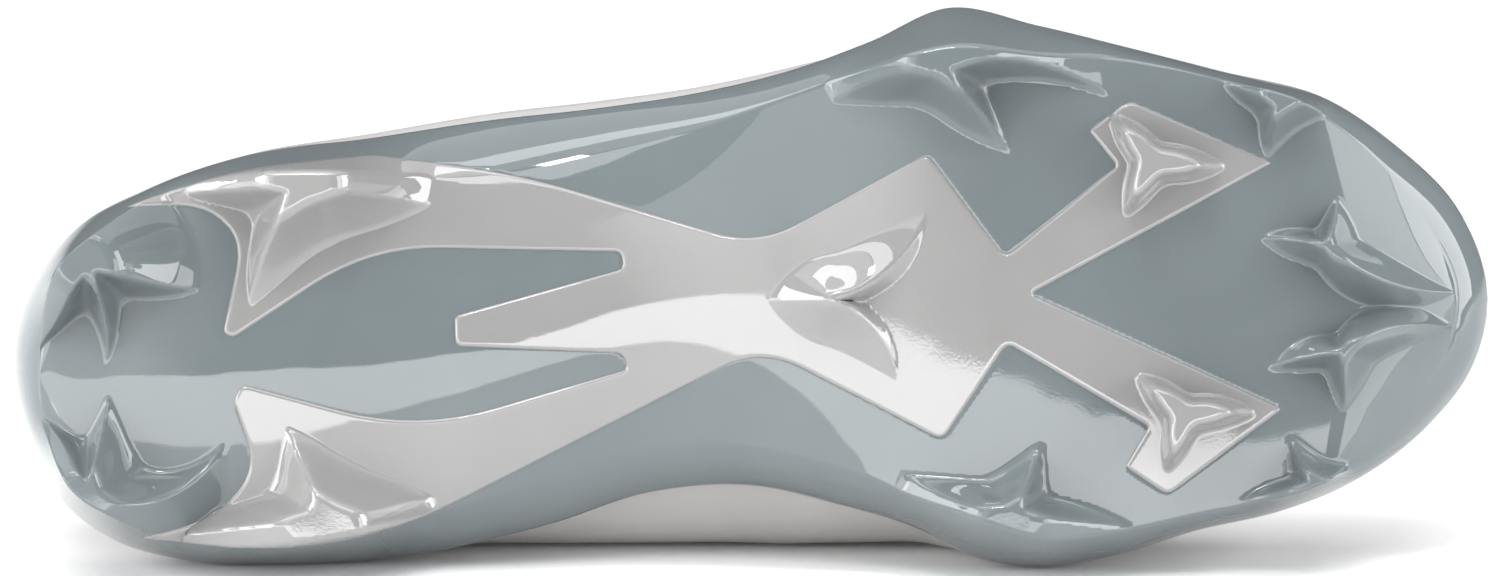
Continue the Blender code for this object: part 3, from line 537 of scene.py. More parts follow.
def skin_height(flat):
    """Height of the studded skin at plan positions, on the bottom face or on the side wall past it."""
    x = np.clip(flat[:, 0], LATERAL_CREST[0, 0] + 0.01, LATERAL_CREST[-1, 0] - 0.01)
    low, high = crest_limits(x)
    eta = (flat[:, 1] - (low + high) / 2) / ((high - low) / 2)
    height, crown = face_profile(x)
    bare = height + crown * np.clip(eta, -1, 1) ** 2
    z = bare - stud_depth(np.column_stack([flat, bare]))
    off = np.abs(eta) > 1
    if off.any():
        z[off] = wall_height(flat[off], eta[off] > 0)
    return z


def wall_height(flat, medial):
    """Height of the side wall at plan positions outside the crest, found by Newton's method."""
    x = flat[:, 0]
    around = np.where(medial, crest_around(x, MEDIAL_CREST), crest_around(x, LATERAL_CREST))
    t = np.full(len(flat), WALL_SEARCH_START)

    def wall(around, t):
        edge = plate_edge(around)
        height, crown = face_profile(edge[:, 3])
        crest = np.column_stack([edge[:, 3:5], height + crown])
        return wall_ring(crest, edge[:, :3], t[:, None]), crest

    step = WALL_SEARCH_STEP
    far, high = WALL_STRIDES
    for _ in range(WALL_SEARCH_STEPS):
        here, _ = wall(around, t)
        miss = flat - here[:, :2]
        by_around = (wall(around + step, t)[0][:, :2] - here[:, :2]) / step
        by_t = (wall(around, t + step)[0][:, :2] - here[:, :2]) / step
        det = by_around[:, 0] * by_t[:, 1] - by_around[:, 1] * by_t[:, 0]
        det = np.where(np.abs(det) < 1e-6, 1e-6, det)
        on = (miss[:, 0] * by_t[:, 1] - miss[:, 1] * by_t[:, 0]) / det
        up = (by_around[:, 0] * miss[:, 1] - by_around[:, 1] * miss[:, 0]) / det
        around = around + np.clip(on, -far, far)
        t = np.clip(t + np.clip(up, -high, high), 0, 1)
    here, crest = wall(around, t)
    return here[:, 2] - stud_depth(crest) * (1 - t) ** STUD_FADE


def rounded_outline(corners):
    """Closed outline with every corner rounded, as evenly short steps."""
    places = np.array([row[:2] for row in corners])
    radii = [row[2] for row in corners]
    points = []
    for k, corner in enumerate(places):
        before = places[k - 1] - corner
        after = places[(k + 1) % len(places)] - corner
        cut_before = min(radii[k], np.linalg.norm(before) * CORNER_SHARE)
        cut_after = min(radii[k], np.linalg.norm(after) * CORNER_SHARE)
        start = corner + before / np.linalg.norm(before) * cut_before
        end = corner + after / np.linalg.norm(after) * cut_after
        for t in np.linspace(0, 1, CORNER_STEPS):
            points.append(start * (1 - t) ** 2 + corner * 2 * t * (1 - t) + end * t**2)
    return np.array(points)


def evenly_along(line, spacing, closed=False):
    """The same line with points about spacing apart, run back to its start if it is closed."""
    if closed:
        line = np.concatenate([line, line[:1]])
    far = np.concatenate([[0], np.cumsum(np.linalg.norm(np.diff(line, axis=0), axis=1))])
    at = np.linspace(0, far[-1], max(int(far[-1] / spacing), 2), endpoint=not closed)
    return np.column_stack([np.interp(at, far, column) for column in line.T])


def facing_down(height, flat, step):
    """Unit vectors square to a height over plan positions, pointing down."""
    slopes = [
        (height(flat + side) - height(flat - side)) / (2 * step)
        for side in ([step, 0], [0, step])
    ]
    return unit(np.column_stack([*slopes, -np.ones(len(flat))]))


def depth_inside(flat, outline):
    """Distance to a closed outline, positive inside it."""
    ends = np.roll(outline, -1, axis=0)
    best = np.full(len(flat), 1e9)
    inside = np.zeros(len(flat), bool)
    for a, b in zip(outline, ends):
        leg = b - a
        share = np.clip((flat - a) @ leg / (leg @ leg), 0, 1)
        best = np.minimum(best, np.linalg.norm(flat - a - share[:, None] * leg, axis=1))
        if a[1] != b[1]:
            crosses = (flat[:, 1] < a[1]) != (flat[:, 1] < b[1])
            where = a[0] + (flat[:, 1] - a[1]) / (b[1] - a[1]) * leg[0]
            inside ^= crosses & (flat[:, 0] < where)
    return np.where(inside, best, -best)


SHOE_TURN = np.array(Matrix.Rotation(radians(-90 - LEAN_DEG), 3, "X"))


def to_world(points):
    """Shoe millimetres to metres in the frame."""
    return np.asarray(points) * MM @ SHOE_TURN.T + SHOE_ORIGIN


def put(name, data):
    """An object of the given data, put into the scene."""
    made = bpy.data.objects.new(name, data)
    bpy.context.scene.collection.objects.link(made)
    return made


def make_piece(name, points, faces, materials, slots=None):
    """A smooth mesh object from points in the shoe's millimetres."""
    mesh = bpy.data.meshes.new(name)
    clean = []
    for face in np.asarray(faces).tolist() if isinstance(faces, np.ndarray) else faces:
        clean.append([corner for k, corner in enumerate(face) if corner != face[k - 1]])
    mesh.from_pydata(to_world(points).tolist(), [], clean)
    for material in materials:
        mesh.materials.append(material)
    if slots is not None:
        mesh.polygons.foreach_set("material_index", np.asarray(slots, np.int32))
    mesh.shade_smooth()
    mesh.validate()
    mesh.update()
    return put(name, mesh)


def finish_piece(piece, slot, *nodes):
    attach(piece, "root")
    if nodes:
        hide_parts(*nodes)
    return piece


def facing(points, quads, inside):
    """The quads, turned round if they face the inside point."""
    a, b, c, d = (points[quads[:, k]] for k in range(4))
    outward = np.sum(np.cross(c - a, d - b) * ((a + c) / 2 - inside))
    return quads if outward > 0 else quads[:, ::-1]


def rolled_edge(ring, across, rise, steps):
    """Rings that roll an edge over towards its other side, each a step further round."""
    turns = [pi * k / EDGE_ROUND_STEPS for k in range(1, steps + 1)]
    return [ring + across * (1 - cos(turn)) / 2 + rise * sin(turn) for turn in turns]


def make_plate(material):
    """The grey plate with its studs, hollowed where the silver insert lies in it."""
    points, quads, depth, rim, _ = plate_surface(PLATE_ROWS, PLATE_COLUMNS, WALL_ROWS)
    normals = upward_normals(points, quads)
    outer = points.copy()
    outer[:, 2] -= depth
    outline = rounded_outline(INSERT_OUTLINE)
    inside = depth_inside(points[:, :2], outline)
    sunk = np.clip((inside - HOLLOW_FROM) / HOLLOW_EASE, 0, 1)
    outer[:, 2] += sunk**2 * (3 - 2 * sunk) * PLATE_HOLLOW
    all_points = [outer]
    all_quads = [quads]
    previous = rim
    count = len(outer)
    rise = np.array([0, 0, PLATE_WALL * RIM_ROUND])
    for ring in rolled_edge(outer[rim], normals[rim] * PLATE_WALL, rise, EDGE_ROUND_STEPS):
        ids = np.arange(len(rim)) + count
        all_points.append(ring)
        all_quads.append(quads_between(previous, ids, closed=True))
        previous = ids
        count += len(rim)
    joined = np.concatenate(all_points)
    faces = facing(joined, np.concatenate(all_quads), SHOE_CENTRE)
    return make_piece("sole_plate", joined, faces, [material])


def make_plate_inside(material):
    """The inside of the plate, under the insole."""
    points, quads, _, _, _ = plate_surface(*PLATE_INSIDE_GRID)
    normals = upward_normals(points, quads)
    inner = points + normals * PLATE_WALL
    quads = facing(inner, quads, SHOE_CENTRE)[:, ::-1]
    return make_piece("sole_plate_inside", inner, quads, [material])


def triangle_grid(low, high, spacing):
    """Points of a grid of even triangles between two corners."""
    rows = []
    for row, y in enumerate(np.arange(low[1], high[1], spacing * TRIANGLE_ROW)):
        xs = np.arange(low[0] + (row % 2) * spacing / 2, high[0], spacing)
        rows.append(np.column_stack([xs, np.full(len(xs), y)]))
    return np.concatenate(rows)


def soften(piece, chosen):
    """Evens out the chosen points of a piece with their neighbours."""
    work = bmesh.new()
    work.from_mesh(piece.data)
    work.verts.ensure_lookup_table()
    verts = [work.verts[k] for k in np.flatnonzero(chosen)]
    axes = {"use_axis_x": True, "use_axis_y": True, "use_axis_z": True}
    for _ in range(SOFTEN_TIMES):
        bmesh.ops.smooth_vert(work, verts=verts, factor=0.5, **axes)
    work.to_mesh(piece.data)
    work.free()


def make_insert(material):
    """The silver insert: its own raised skin with a rounded edge all round."""
    outline = rounded_outline(INSERT_OUTLINE)
    edge = evenly_along(outline, INSERT_EDGE_STEP, closed=True)
    steps = np.roll(edge, -1, axis=0) - np.roll(edge, 1, axis=0)
    across = unit(np.column_stack([steps[:, 1], -steps[:, 0]]))
    probe = depth_inside(edge + across * SIDE_PROBE, outline)
    across = across * np.sign(probe)[:, None]
    spots = [edge]
    for depth in INSERT_RINGS:
        ring = edge + across * depth
        spots.append(ring[np.abs(depth_inside(ring, outline) - depth) < RING_SLACK])
    tips = {stud[0]: np.array(stud[1:3]) for stud in STUDS}
    grid = triangle_grid(edge.min(0), edge.max(0), INSERT_GRID)
    for stud, radius, spacing in STUD_GRIDS:
        tip = tips[stud]
        grid = grid[np.linalg.norm(grid - tip, axis=1) > radius]
        fine = triangle_grid(tip - radius, tip + radius, spacing)
        grid = np.concatenate([grid, fine[np.linalg.norm(fine - tip, axis=1) < radius]])
    spots.append(grid[depth_inside(grid, outline) > INSERT_RINGS[-1] + INSERT_EDGE_STEP])
    flat = np.concatenate(spots)
    count = len(edge)
    edges = [(k, (k + 1) % count) for k in range(count)]
    flat, _, faces, *_ = delaunay_2d_cdt([Vector(p) for p in flat], edges, [], 1, INSERT_WELD)
    flat = np.array([list(p) for p in flat])
    inside = depth_inside(flat, outline)
    faces = [face for face in faces if inside[list(face)].max() > INSIDE_MARGIN]
    share = np.clip(inside / INSERT_ROUND, 0, 1)
    lift = (INSERT_RAISE + INSERT_SINK) * np.sqrt(1 - (1 - share) ** 2) - INSERT_SINK
    outward = facing_down(skin_height, flat, SLOPE_STEP)
    points = np.column_stack([flat, skin_height(flat)]) + outward * lift[:, None]
    a, b, c = points[faces[0][:3]]
    if np.cross(b - a, c - a)[2] > 0:
        faces = [face[::-1] for face in faces]
    insert = make_piece("silver_insert", points, faces, [material])
    steep = np.zeros(len(flat), bool)
    for stud in STEEP_STUDS:
        steep |= np.linalg.norm(flat - tips[stud], axis=1) < STEEP_REACH
    soften(insert, steep & (inside > INSERT_RINGS[-1]))
    return insert


def bezier(a, b, c, d, t):
    return a * (1 - t) ** 3 + b * 3 * t * (1 - t) ** 2 + c * 3 * t**2 * (1 - t) + d * t**3


def upper_ribs(plate_rows, step):
    """The upper's outer skin as rows, from inside the plate up to the collar and throat edge."""
    points, quads, _, rim, around = plate_surface(plate_rows, PLATE_COLUMNS // 2, TUCKED_ROWS)
    normals = upward_normals(points, quads)
    inside = points + normals * (PLATE_WALL + UPPER_CLEARANCE)
    count = len(rim)
    chosen = slice(0, count, step)
    rings = [inside[len(points) - count * j:][:count][chosen] for j in range(TUCKED_ROWS, 0, -1)]
    around = around[chosen]
    top_ring = rings[-1]
    knots, period = plate_knots()
    names = [row[0] for row in PLATE_STATIONS]
    own = [knots[names.index(row[0])] for row in UPPER_STATIONS]
    table = smooth_values(own, [row[1:] for row in UPPER_STATIONS], np.mod(around, period), period)
    swell, wide_z, edge, slope = table[:, 0], table[:, 1], table[:, 2:5], np.radians(table[:, 5])
    rim_outer = plate_edge(around)
    outward = unit(rim_outer[:, :2] - rim_outer[:, 3:5])
    wide = np.column_stack([rim_outer[:, :2] + outward * swell[:, None], wide_z])
    up = np.array([0, 0, 1.0])
    rows = rings[1:]
    along_side = unit(top_ring - rings[-2])
    rise = np.linalg.norm(wide - top_ring, axis=1)[:, None] * SWELL_HANDLE
    for t in np.linspace(0, 1, SWELL_STEPS + 1)[1:]:
        rows.append(bezier(top_ring, top_ring + along_side * rise, wide - up * rise, wide, t))
    flat = wide - edge
    flat[:, 2] = 0
    back = unit(flat) * np.cos(slope)[:, None] - up * np.sin(slope)[:, None]
    climb = np.linalg.norm(edge - wide, axis=1)[:, None] * TOP_HANDLE
    for t in np.linspace(0, 1, TOP_STEPS + 1)[1:]:
        rows.append(bezier(wide, wide + up * climb, edge + back * climb, edge, t))
    return np.array(rows)


def ring_quads(rows, count, first=0):
    ids = np.arange(rows * count).reshape(rows, count) + first
    return np.concatenate([quads_between(ids[r], ids[r + 1], closed=True) for r in range(rows - 1)])


def instep_surface(ribs):
    """A smooth height over the instep, through the upper's skin beside the throat."""
    near = ribs.reshape(-1, 3)
    near = near[near[:, 0] > THROAT_TOP - INSTEP_MARGIN]
    near = near[near[:, 2] > INSTEP_LOWEST]

    def bend(distance):
        distance = np.maximum(distance / SPLINE_SCALE, 1e-9)
        return distance**2 * np.log(distance)

    flat = near[:, :2]
    count = len(flat)
    system = np.zeros((count + 3, count + 3))
    system[:count, :count] = bend(np.linalg.norm(flat[:, None] - flat[None], axis=2))
    system[:count, count] = system[count, :count] = 1
    system[:count, count + 1:] = flat / SPLINE_SCALE
    system[count + 1:, :count] = flat.T / SPLINE_SCALE
    system[:count, :count] += np.eye(count) * SPLINE_EASE
    weights = np.linalg.solve(system, np.concatenate([near[:, 2], np.zeros(3)]))

    def height(xy):
        xy = np.atleast_2d(xy)
        away = bend(np.linalg.norm(xy[:, None] - flat[None], axis=2))
        return away @ weights[:count] + weights[count] + xy @ weights[count + 1:] / SPLINE_SCALE

    def place(xy, lift):
        """Points above the instep by lift, square to it, with their normals."""
        xy = np.atleast_2d(np.asarray(xy, float))
        normal = -facing_down(height, xy, INSTEP_STEP)
        lift = np.asarray(lift, float).reshape(-1, 1)
        return np.column_stack([xy, height(xy)]) + normal * lift, normal

    return place


def throat_edge(x, side):
    """Where the throat's edge runs at x, with side -1 lateral and +1 medial."""
    ends = (THROAT_TOP - EDGE_MARGIN, THROAT_END - EDGE_MARGIN)
    rows = [row for row in UPPER_STATIONS if ends[0] < row[3] < ends[1]]
    rows = [row for row in rows if (row[4] < THROAT_MIDDLE) == (side < 0)]
    rows.sort(key=lambda row: row[3])
    return np.interp(x, [row[3] for row in rows], [row[4] for row in rows])


def eyelet_places():
    """Lateral and medial hole of each row, from the top of the throat to its end."""
    xs = np.linspace(THROAT_TOP + EYELET_FIRST, THROAT_END - EYELET_LAST, EYELET_ROWS)
    return [[(x, throat_edge(x, side) + side * EYELET_INSET) for side in (-1, 1)] for x in xs]


def crease_depth(points, back_seam):
    """How deep the back seam and the creases over the vamp lie in the upper's skin."""
    far = np.linalg.norm(points[:, None] - back_seam[None], axis=2).min(axis=1)
    depth = SEAM_DEPTH * np.exp(-(far / SEAM_WIDTH) ** 2)
    on_top = np.clip((points[:, 2] - CREASE_LOWEST) / CREASE_FADE, 0, 1)
    for x, y, bow, half, deep, width in VAMP_CREASES:
        across = (points[:, 1] - y) / half
        off = points[:, 0] - x - bow * across**2
        depth += deep * np.exp(-(off / width) ** 2) * np.clip(1 - across**2, 0, 1) * on_top
    return depth


def make_upper(ribs, place, skin, lining):
    """The hollow upper: smooth skin outside, knit lining inside, a rolled edge and punched holes."""
    rows, count, _ = ribs.shape
    outer = ribs.reshape(-1, 3)
    quads = ring_quads(rows, count)
    normals = vertex_normals(outer, quads)
    if np.sum((outer - SHOE_CENTRE) * normals) < 0:
        normals = -normals
    top_normals = normals[-count:]
    edge_x = ribs[-1][:, 0]
    collar = np.clip((THROAT_TOP - COLLAR_MARGIN - edge_x) / COLLAR_FADE, 0, 1)
    share = np.linspace(0, 1, rows)
    padding = np.clip((share - (1 - COLLAR_PAD_DEPTH)) / COLLAR_PAD_DEPTH, 0, 1)
    padding = np.sin(padding * pi * COLLAR_PAD_TURN) ** 2
    wall = UPPER_WALL + COLLAR_PAD * padding[:, None] * collar[None, :]
    inner = outer - normals * wall.reshape(-1, 1)
    back_seam = evenly_along(ribs[SEAM_FIRST_ROW:, np.argmin(edge_x)], SEAM_STEP)
    skin_points = outer - normals * crease_depth(outer, back_seam)[:, None]
    points = [skin_points]
    all_quads = [quads]
    band = np.zeros((rows - 1, count), int)
    band[-BAND_ROWS:, edge_x < COLLAR_END] = 1
    slots = [band.ravel()]
    previous = np.arange((rows - 1) * count, rows * count)
    total = len(outer)
    rise = unit(ribs[-1] - ribs[-2]) * COLLAR_ROLL
    inward = -top_normals * wall[-1][:, None]
    for k, ring in enumerate(rolled_edge(ribs[-1], inward, rise, EDGE_ROUND_STEPS - 1), start=1):
        ids = np.arange(count) + total
        points.append(ring)
        all_quads.append(quads_between(previous, ids, closed=True))
        slots.append(np.where(edge_x < COLLAR_END, 1, 0 if k < EDGE_ROUND_STEPS / 2 else 1))
        previous = ids
        total += count
    inner_quads = ring_quads(rows, count, total)[:, ::-1]
    points.append(inner)
    all_quads += [
        quads_between(previous, np.arange(count) + total + (rows - 1) * count, closed=True),
        inner_quads,
        quads_between(np.arange(count) + total, np.arange(count), closed=True),
    ]
    slots += [np.ones(count, int), np.ones(len(inner_quads), int), np.ones(count, int)]
    joined = np.concatenate(points)
    faces = np.concatenate(all_quads)
    if not np.array_equal(facing(outer, quads, SHOE_CENTRE), quads):
        faces = faces[:, ::-1]
    upper = make_piece("upper_shell", joined, faces, [skin, lining], np.concatenate(slots))
    punch_holes(upper, place)
    return upper


def stitch_row(line, lift):
    """Points and quads of small rounded stitches along a line on the skin."""
    spots = evenly_along(line, STITCH_GAP)
    along = unit(np.gradient(spots, axis=0))
    long, wide, high = (size / 2 for size in STITCH_SIZE)
    aside = unit(np.cross(along, lift))
    outward = np.cross(aside, along)
    turns = np.linspace(0, 2 * pi, STITCH_SIDES, endpoint=False)
    rings = []
    for share in np.linspace(*STITCH_ENDS, STITCH_RINGS) * pi:
        for turn in turns:
            offset = aside * cos(turn) * wide + outward * sin(turn) * high
            rings.append(spots + along * cos(share) * long + offset * sin(share))
    points = np.array(rings).transpose(1, 0, 2).reshape(-1, 3)
    one = ring_quads(STITCH_RINGS, STITCH_SIDES)
    each = STITCH_RINGS * STITCH_SIDES
    return points, np.concatenate([one + k * each for k in range(len(spots))])


def make_stitches(ribs, material):
    """Stitching below the collar's knit band and round the eyelets."""
    edge_x = ribs[-1][:, 0]
    collar = edge_x < COLLAR_END
    heel = np.argmin(edge_x)
    toe = np.argmax(edge_x)
    rows = [(BAND_ROWS + 1, collar, toe), (BAND_ROWS + 2, collar, toe), (EYESTAY_ROWS + 1, ~collar, heel)]
    points = []
    quads = []
    total = 0
    for back, here, start in rows:
        order = np.roll(np.arange(len(edge_x)), -start)
        line = ribs[-back][order][here[order]]
        made, faces = stitch_row(line, unit(evenly_along(line, STITCH_GAP) - STITCH_CENTRE))
        points.append(made)
        quads.append(faces + total)
        total += len(made)
    return make_piece("stitching", np.concatenate(points), np.concatenate(quads), [material])


def punch_holes(upper, place):
    """Cuts the lace holes through the upper with one set of round punches."""
    work = bmesh.new()
    for pair in eyelet_places():
        for hole in pair:
            spot, normal = place(hole, 0.0)
            turn = Vector(normal[0]).to_track_quat("Z", "Y").to_matrix().to_4x4()
            sizes = {"radius1": EYELET_RADIUS, "radius2": EYELET_RADIUS, "depth": PUNCH_DEPTH}
            ring = bmesh.ops.create_cone(work, cap_ends=True, segments=PUNCH_SIDES, **sizes)
            bmesh.ops.transform(work, matrix=Matrix.Translation(spot[0]) @ turn, verts=ring["verts"])
    punches = bpy.data.meshes.new("punches")
    work.to_mesh(punches)
    work.free()
    places = np.array([list(vertex.co) for vertex in punches.vertices])
    punches.vertices.foreach_set("co", to_world(places).ravel())
    punches.update()
    cutter = put("punches", punches)
    cut = upper.modifiers.new("holes", "BOOLEAN")
    cut.operation = "DIFFERENCE"
    cut.solver = "MANIFOLD"
    cut.object = cutter
    bpy.context.view_layer.update()
    graph = bpy.context.evaluated_depsgraph_get()
    result = bpy.data.meshes.new_from_object(upper.evaluated_get(graph))
    upper.modifiers.clear()
    upper.data = result
    result.shade_smooth()
    result.set_sharp_from_angle(angle=radians(SHARP_DEG))
    bpy.data.objects.remove(cutter)


def make_pad(name, top, normals, thickness, rounding, material):
    """A closed soft sheet from a grid of top points, with rounded edges all round."""
    rows, columns, _ = top.shape
    u = np.linspace(0, 1, rows)[:, None]
    v = np.linspace(0, 1, columns)[None, :]
    along = np.linalg.norm(top[1:, columns // 2] - top[:-1, columns // 2], axis=1).sum()
    wide = np.linalg.norm(top[rows // 2, 1:] - top[rows // 2, :-1], axis=1).sum()
    from_edge = np.minimum(np.minimum(u, 1 - u) * along, np.minimum(v, 1 - v) * wide)
    share = np.clip(from_edge / rounding, 0, 1)
    half = thickness / 2 * np.sqrt(1 - (1 - share) ** 2)
    middle = top - normals * thickness / 2
    upper_side = (middle + normals * half[:, :, None]).reshape(-1, 3)
    lower_side = (middle - normals * half[:, :, None]).reshape(-1, 3)
    ids = np.arange(rows * columns).reshape(rows, columns)
    quads = np.concatenate([quads_between(ids[r], ids[r + 1]) for r in range(rows - 1)])
    points = np.concatenate([upper_side, lower_side])
    faces = np.concatenate([quads[:, ::-1], quads + rows * columns])
    return merge_close(make_piece(name, points, faces, [material]), WELD)


def merge_close(piece, distance):
    """Welds points that lie closer together than distance, in millimetres."""
    work = bmesh.new()
    work.from_mesh(piece.data)
    bmesh.ops.remove_doubles(work, verts=work.verts, dist=distance * MM)
    bmesh.ops.recalc_face_normals(work, faces=work.faces)
    work.to_mesh(piece.data)
    work.free()
    return piece


def make_tongue(place, material):
    tops = []
    normals = []
    widths = np.array(TONGUE_WIDTHS, float)
    rows, columns = TONGUE_GRID
    for x in np.linspace(THROAT_TOP - TONGUE_RISE, THROAT_END + TONGUE_TUCK, rows):
        middle = (throat_edge(x, -1) + throat_edge(x, 1)) / 2
        half = np.interp(x, widths[:, 0], widths[:, 1])
        xy = [(x, middle + half * e) for e in np.linspace(-1, 1, columns)]
        spots, normal = place(xy, -(UPPER_WALL + TONGUE_DROP))
        tops.append(spots)
        normals.append(normal)
    tops, normals = np.array(tops), np.array(normals)
    return make_pad("tongue_pad", tops, normals, TONGUE_THICKNESS, TONGUE_ROUND, material)


def make_insole(material):
    rows, columns = INSOLE_GRID
    xs = station_x(LATERAL_CREST[0, 0] + INSOLE_INSET, LATERAL_CREST[-1, 0] - INSOLE_INSET, rows)
    low, high = crest_limits(xs)
    tops = []
    for k, x in enumerate(xs):
        ys = np.linspace(low[k] + INSOLE_INSET, high[k] - INSOLE_INSET, columns)
        share = (ys - (low[k] + high[k]) / 2) / ((high[k] - low[k]) / 2)
        height, crown = face_profile(np.full(len(ys), x))
        z = height + crown * share**2 + PLATE_WALL + INSOLE_CLEARANCE + INSOLE_THICKNESS
        tops.append(np.column_stack([np.full(len(ys), x), ys, z]))
    tops = np.array(tops)
    normals = np.zeros_like(tops)
    normals[:, :, 2] = 1
    return make_pad("insole_board", tops, normals, INSOLE_THICKNESS, INSOLE_ROUND, material)


def evened(values, window):
    """Running mean of a row of values, over an odd number of them."""
    return np.convolve(np.pad(values, window // 2, mode="edge"), np.ones(window) / window, mode="valid")


def lace_strand(start, end, lift, place):
    """A flat strand over the instep from one hole to another, whose ends dive through the holes."""
    ends = len(LACE_DIVE)
    shares = np.concatenate([np.zeros(ends), np.linspace(0, 1, LACE_STEPS), np.ones(ends)])
    direction = (end - start) / np.linalg.norm(end - start)
    lifts = np.concatenate([LACE_DIVE, np.full(LACE_STEPS, lift), LACE_DIVE[::-1]])
    pinch = np.concatenate([np.full(ends, LACE_PINCH), np.ones(LACE_STEPS), np.full(ends, LACE_PINCH)])
    lifts = evened(lifts, LACE_DIVE_EVENED)
    pinch = evened(pinch, LACE_PINCH_EVENED)
    xy = start + (end - start) * shares[:, None]
    sides = np.linspace(0, 2 * pi, LACE_SIDES, endpoint=False)
    wide, high = (np.sign(wave) * np.abs(wave) ** LACE_SQUARE for wave in (np.cos(sides), np.sin(sides)))
    across = np.array([-direction[1], direction[0]])
    rings = []
    for k, centre in enumerate(xy):
        flat = centre + across * (wide * LACE_WIDTH / 2 * pinch[k])[:, None]
        ring, _ = place(flat, lifts[k] + LACE_THICKNESS / 2 * (1 + high))
        rings.append(ring)
    return np.array(rings)


def make_lace(place, material):
    """The last bar and the crossings above it, one strand of each crossing riding a little higher."""
    holes = np.array(eyelet_places())
    strands = [lace_strand(holes[-1][0], holes[-1][1], LACE_LIFT + LACE_STEP / 2, place)]
    for row in range(EYELET_ROWS - 1):
        for side in (0, 1):
            lift = LACE_LIFT + LACE_STEP * side
            strands.append(lace_strand(holes[row][side], holes[row + 1][1 - side], lift, place))
    points = []
    faces = []
    for rings in strands:
        rows, count, _ = rings.shape
        first = sum(len(part) for part in points)
        points.append(rings.reshape(-1, 3))
        faces += ring_quads(rows, count, first).tolist()
        faces.append(list(range(first, first + count)))
        faces.append(list(range(first + rows * count - 1, first + (rows - 1) * count - 1, -1)))
    lace = make_piece("lace", np.concatenate(points), faces, [material])
    return merge_close(lace, LACE_WELD)


# Materials

# Moulded plastics: dark tone, light tone, roughness, index of refraction, wave and grain
PLASTICS = {
    "grey_plate_plastic": ((0.110, 0.129, 0.136), (0.128, 0.149, 0.156), 0.025, 1.54, 0.8, 0.03),
    "silver_plastic": ((0.208, 0.205, 0.203), (0.230, 0.227, 0.225), 0.03, 1.76, 0.8, 0.05),
    "white_synthetic": ((0.36, 0.352, 0.346), (0.405, 0.397, 0.39), 0.36, 1.5, 0.2, 0.5),
}
PLASTIC_RELIEF = (0.12, 0.0004)

# Cloths: dark tone, a painted shade for the hollows between the loops, light tone for the loop tops,
# loops to the metre and depth of the relief in metres
CLOTHS = {
    "lining_knit": ((0.28, 0.285, 0.285), (0.46, 0.46, 0.455), 900.0, 0.0003),
    "tongue_knit": ((0.30, 0.30, 0.295), (0.52, 0.52, 0.515), 700.0, 0.0005),
    "white_thread": ((0.42, 0.42, 0.415), (0.60, 0.60, 0.595), 2200.0, 0.0001),
    "insole_cloth": ((0.20, 0.21, 0.22), (0.36, 0.37, 0.38), 1100.0, 0.0002),
    "lace_weave": ((0.42, 0.42, 0.415), (0.64, 0.64, 0.63), 1000.0, 0.0003),
}
CLOTH_ROUGHNESS = 0.85
CLOTH_SHEEN = 0.3
CLOTH_RELIEF = 0.6


def node(tree, kind, **values):
    made = tree.nodes.new(kind)
    for key, value in values.items():
        if key in made.inputs:
            made.inputs[key].default_value = value
        else:
            setattr(made, key, value)
    return made


def wire(tree, *links):
    """Makes links, each given as a node, its output, a node and its input."""
    for source, output, target, socket in links:
        tree.links.new(source.outputs[output], target.inputs[socket])


def new_group(name, given, wanted):
    """An empty node group with the given inputs and their values, and the wanted outputs."""
    group = bpy.data.node_groups.new(name, "ShaderNodeTree")
    for label, value in given.items():
        made = group.interface.new_socket(label, in_out="INPUT", socket_type="NodeSocketFloat")
        made.default_value = value
    for label in wanted:
        group.interface.new_socket(label, in_out="OUTPUT", socket_type="NodeSocketFloat")
    return group, group.nodes.new("NodeGroupInput"), group.nodes.new("NodeGroupOutput")


def moulding_group():
    """Moulded plastic: slow waves left by the mould and a fine grain in the height, cloudy streaks in the
    shade."""
    strengths = {"Wave": 0.3, "Grain": 0.1, "Streak": 0.5}
    group, given, out = new_group("moulding", strengths, ("Height", "Shade"))
    place = node(group, "ShaderNodeTexCoord")
    height = node(group, "ShaderNodeMath", operation="ADD")
    textures = [
        # strength, node and socket that it goes to, the texture's own values
        ("Wave", height, 0, {"Scale": 70.0, "Detail": 1.0}),
        ("Grain", height, 1, {"Scale": 1800.0, "Detail": 2.0}),
        ("Streak", out, "Shade", {"Scale": 28.0, "Detail": 3.0, "Distortion": 1.5}),
    ]
    for strength, target, socket, values in textures:
        texture = node(group, "ShaderNodeTexNoise", **values)
        scaled = node(group, "ShaderNodeMath", operation="MULTIPLY")
        wire(group, (place, "Object", texture, "Vector"), (texture, "Fac", scaled, 0))
        wire(group, (given, strength, scaled, 1), (scaled, 0, target, socket))
    wire(group, (height, 0, out, "Height"))
    return group


def knit_group():
    """Knitted cloth: rows of small loops as a height, and the same values as a painted shade that darkens
    the hollows between the loops.
    """
    group, given, out = new_group("knit", {"Pitch": 900.0}, ("Height", "Shade"))
    place = node(group, "ShaderNodeTexCoord")
    loops = node(group, "ShaderNodeTexVoronoi", feature="SMOOTH_F1")
    loop_height_and_painted_shade = node(group, "ShaderNodeMath", operation="SUBTRACT")
    loop_height_and_painted_shade.inputs[0].default_value = 1.0
    wire(group, (place, "Object", loops, "Vector"), (given, "Pitch", loops, "Scale"))
    # The loop height also sets the colour: painted shade, darker in the hollows between the loops.
    wire(group, (loops, "Distance", loop_height_and_painted_shade, 1), (loop_height_and_painted_shade, 0, out, "Height"), (loop_height_and_painted_shade, 0, out, "Shade"))
    return group


def material_with(name, roughness, **sockets):
    made = bpy.data.materials.new(name)
    made.use_nodes = True
    shader = made.node_tree.nodes["Principled BSDF"]
    shader.inputs["Roughness"].default_value = roughness
    for key, value in sockets.items():
        shader.inputs[key].default_value = value
    return made, made.node_tree, shader


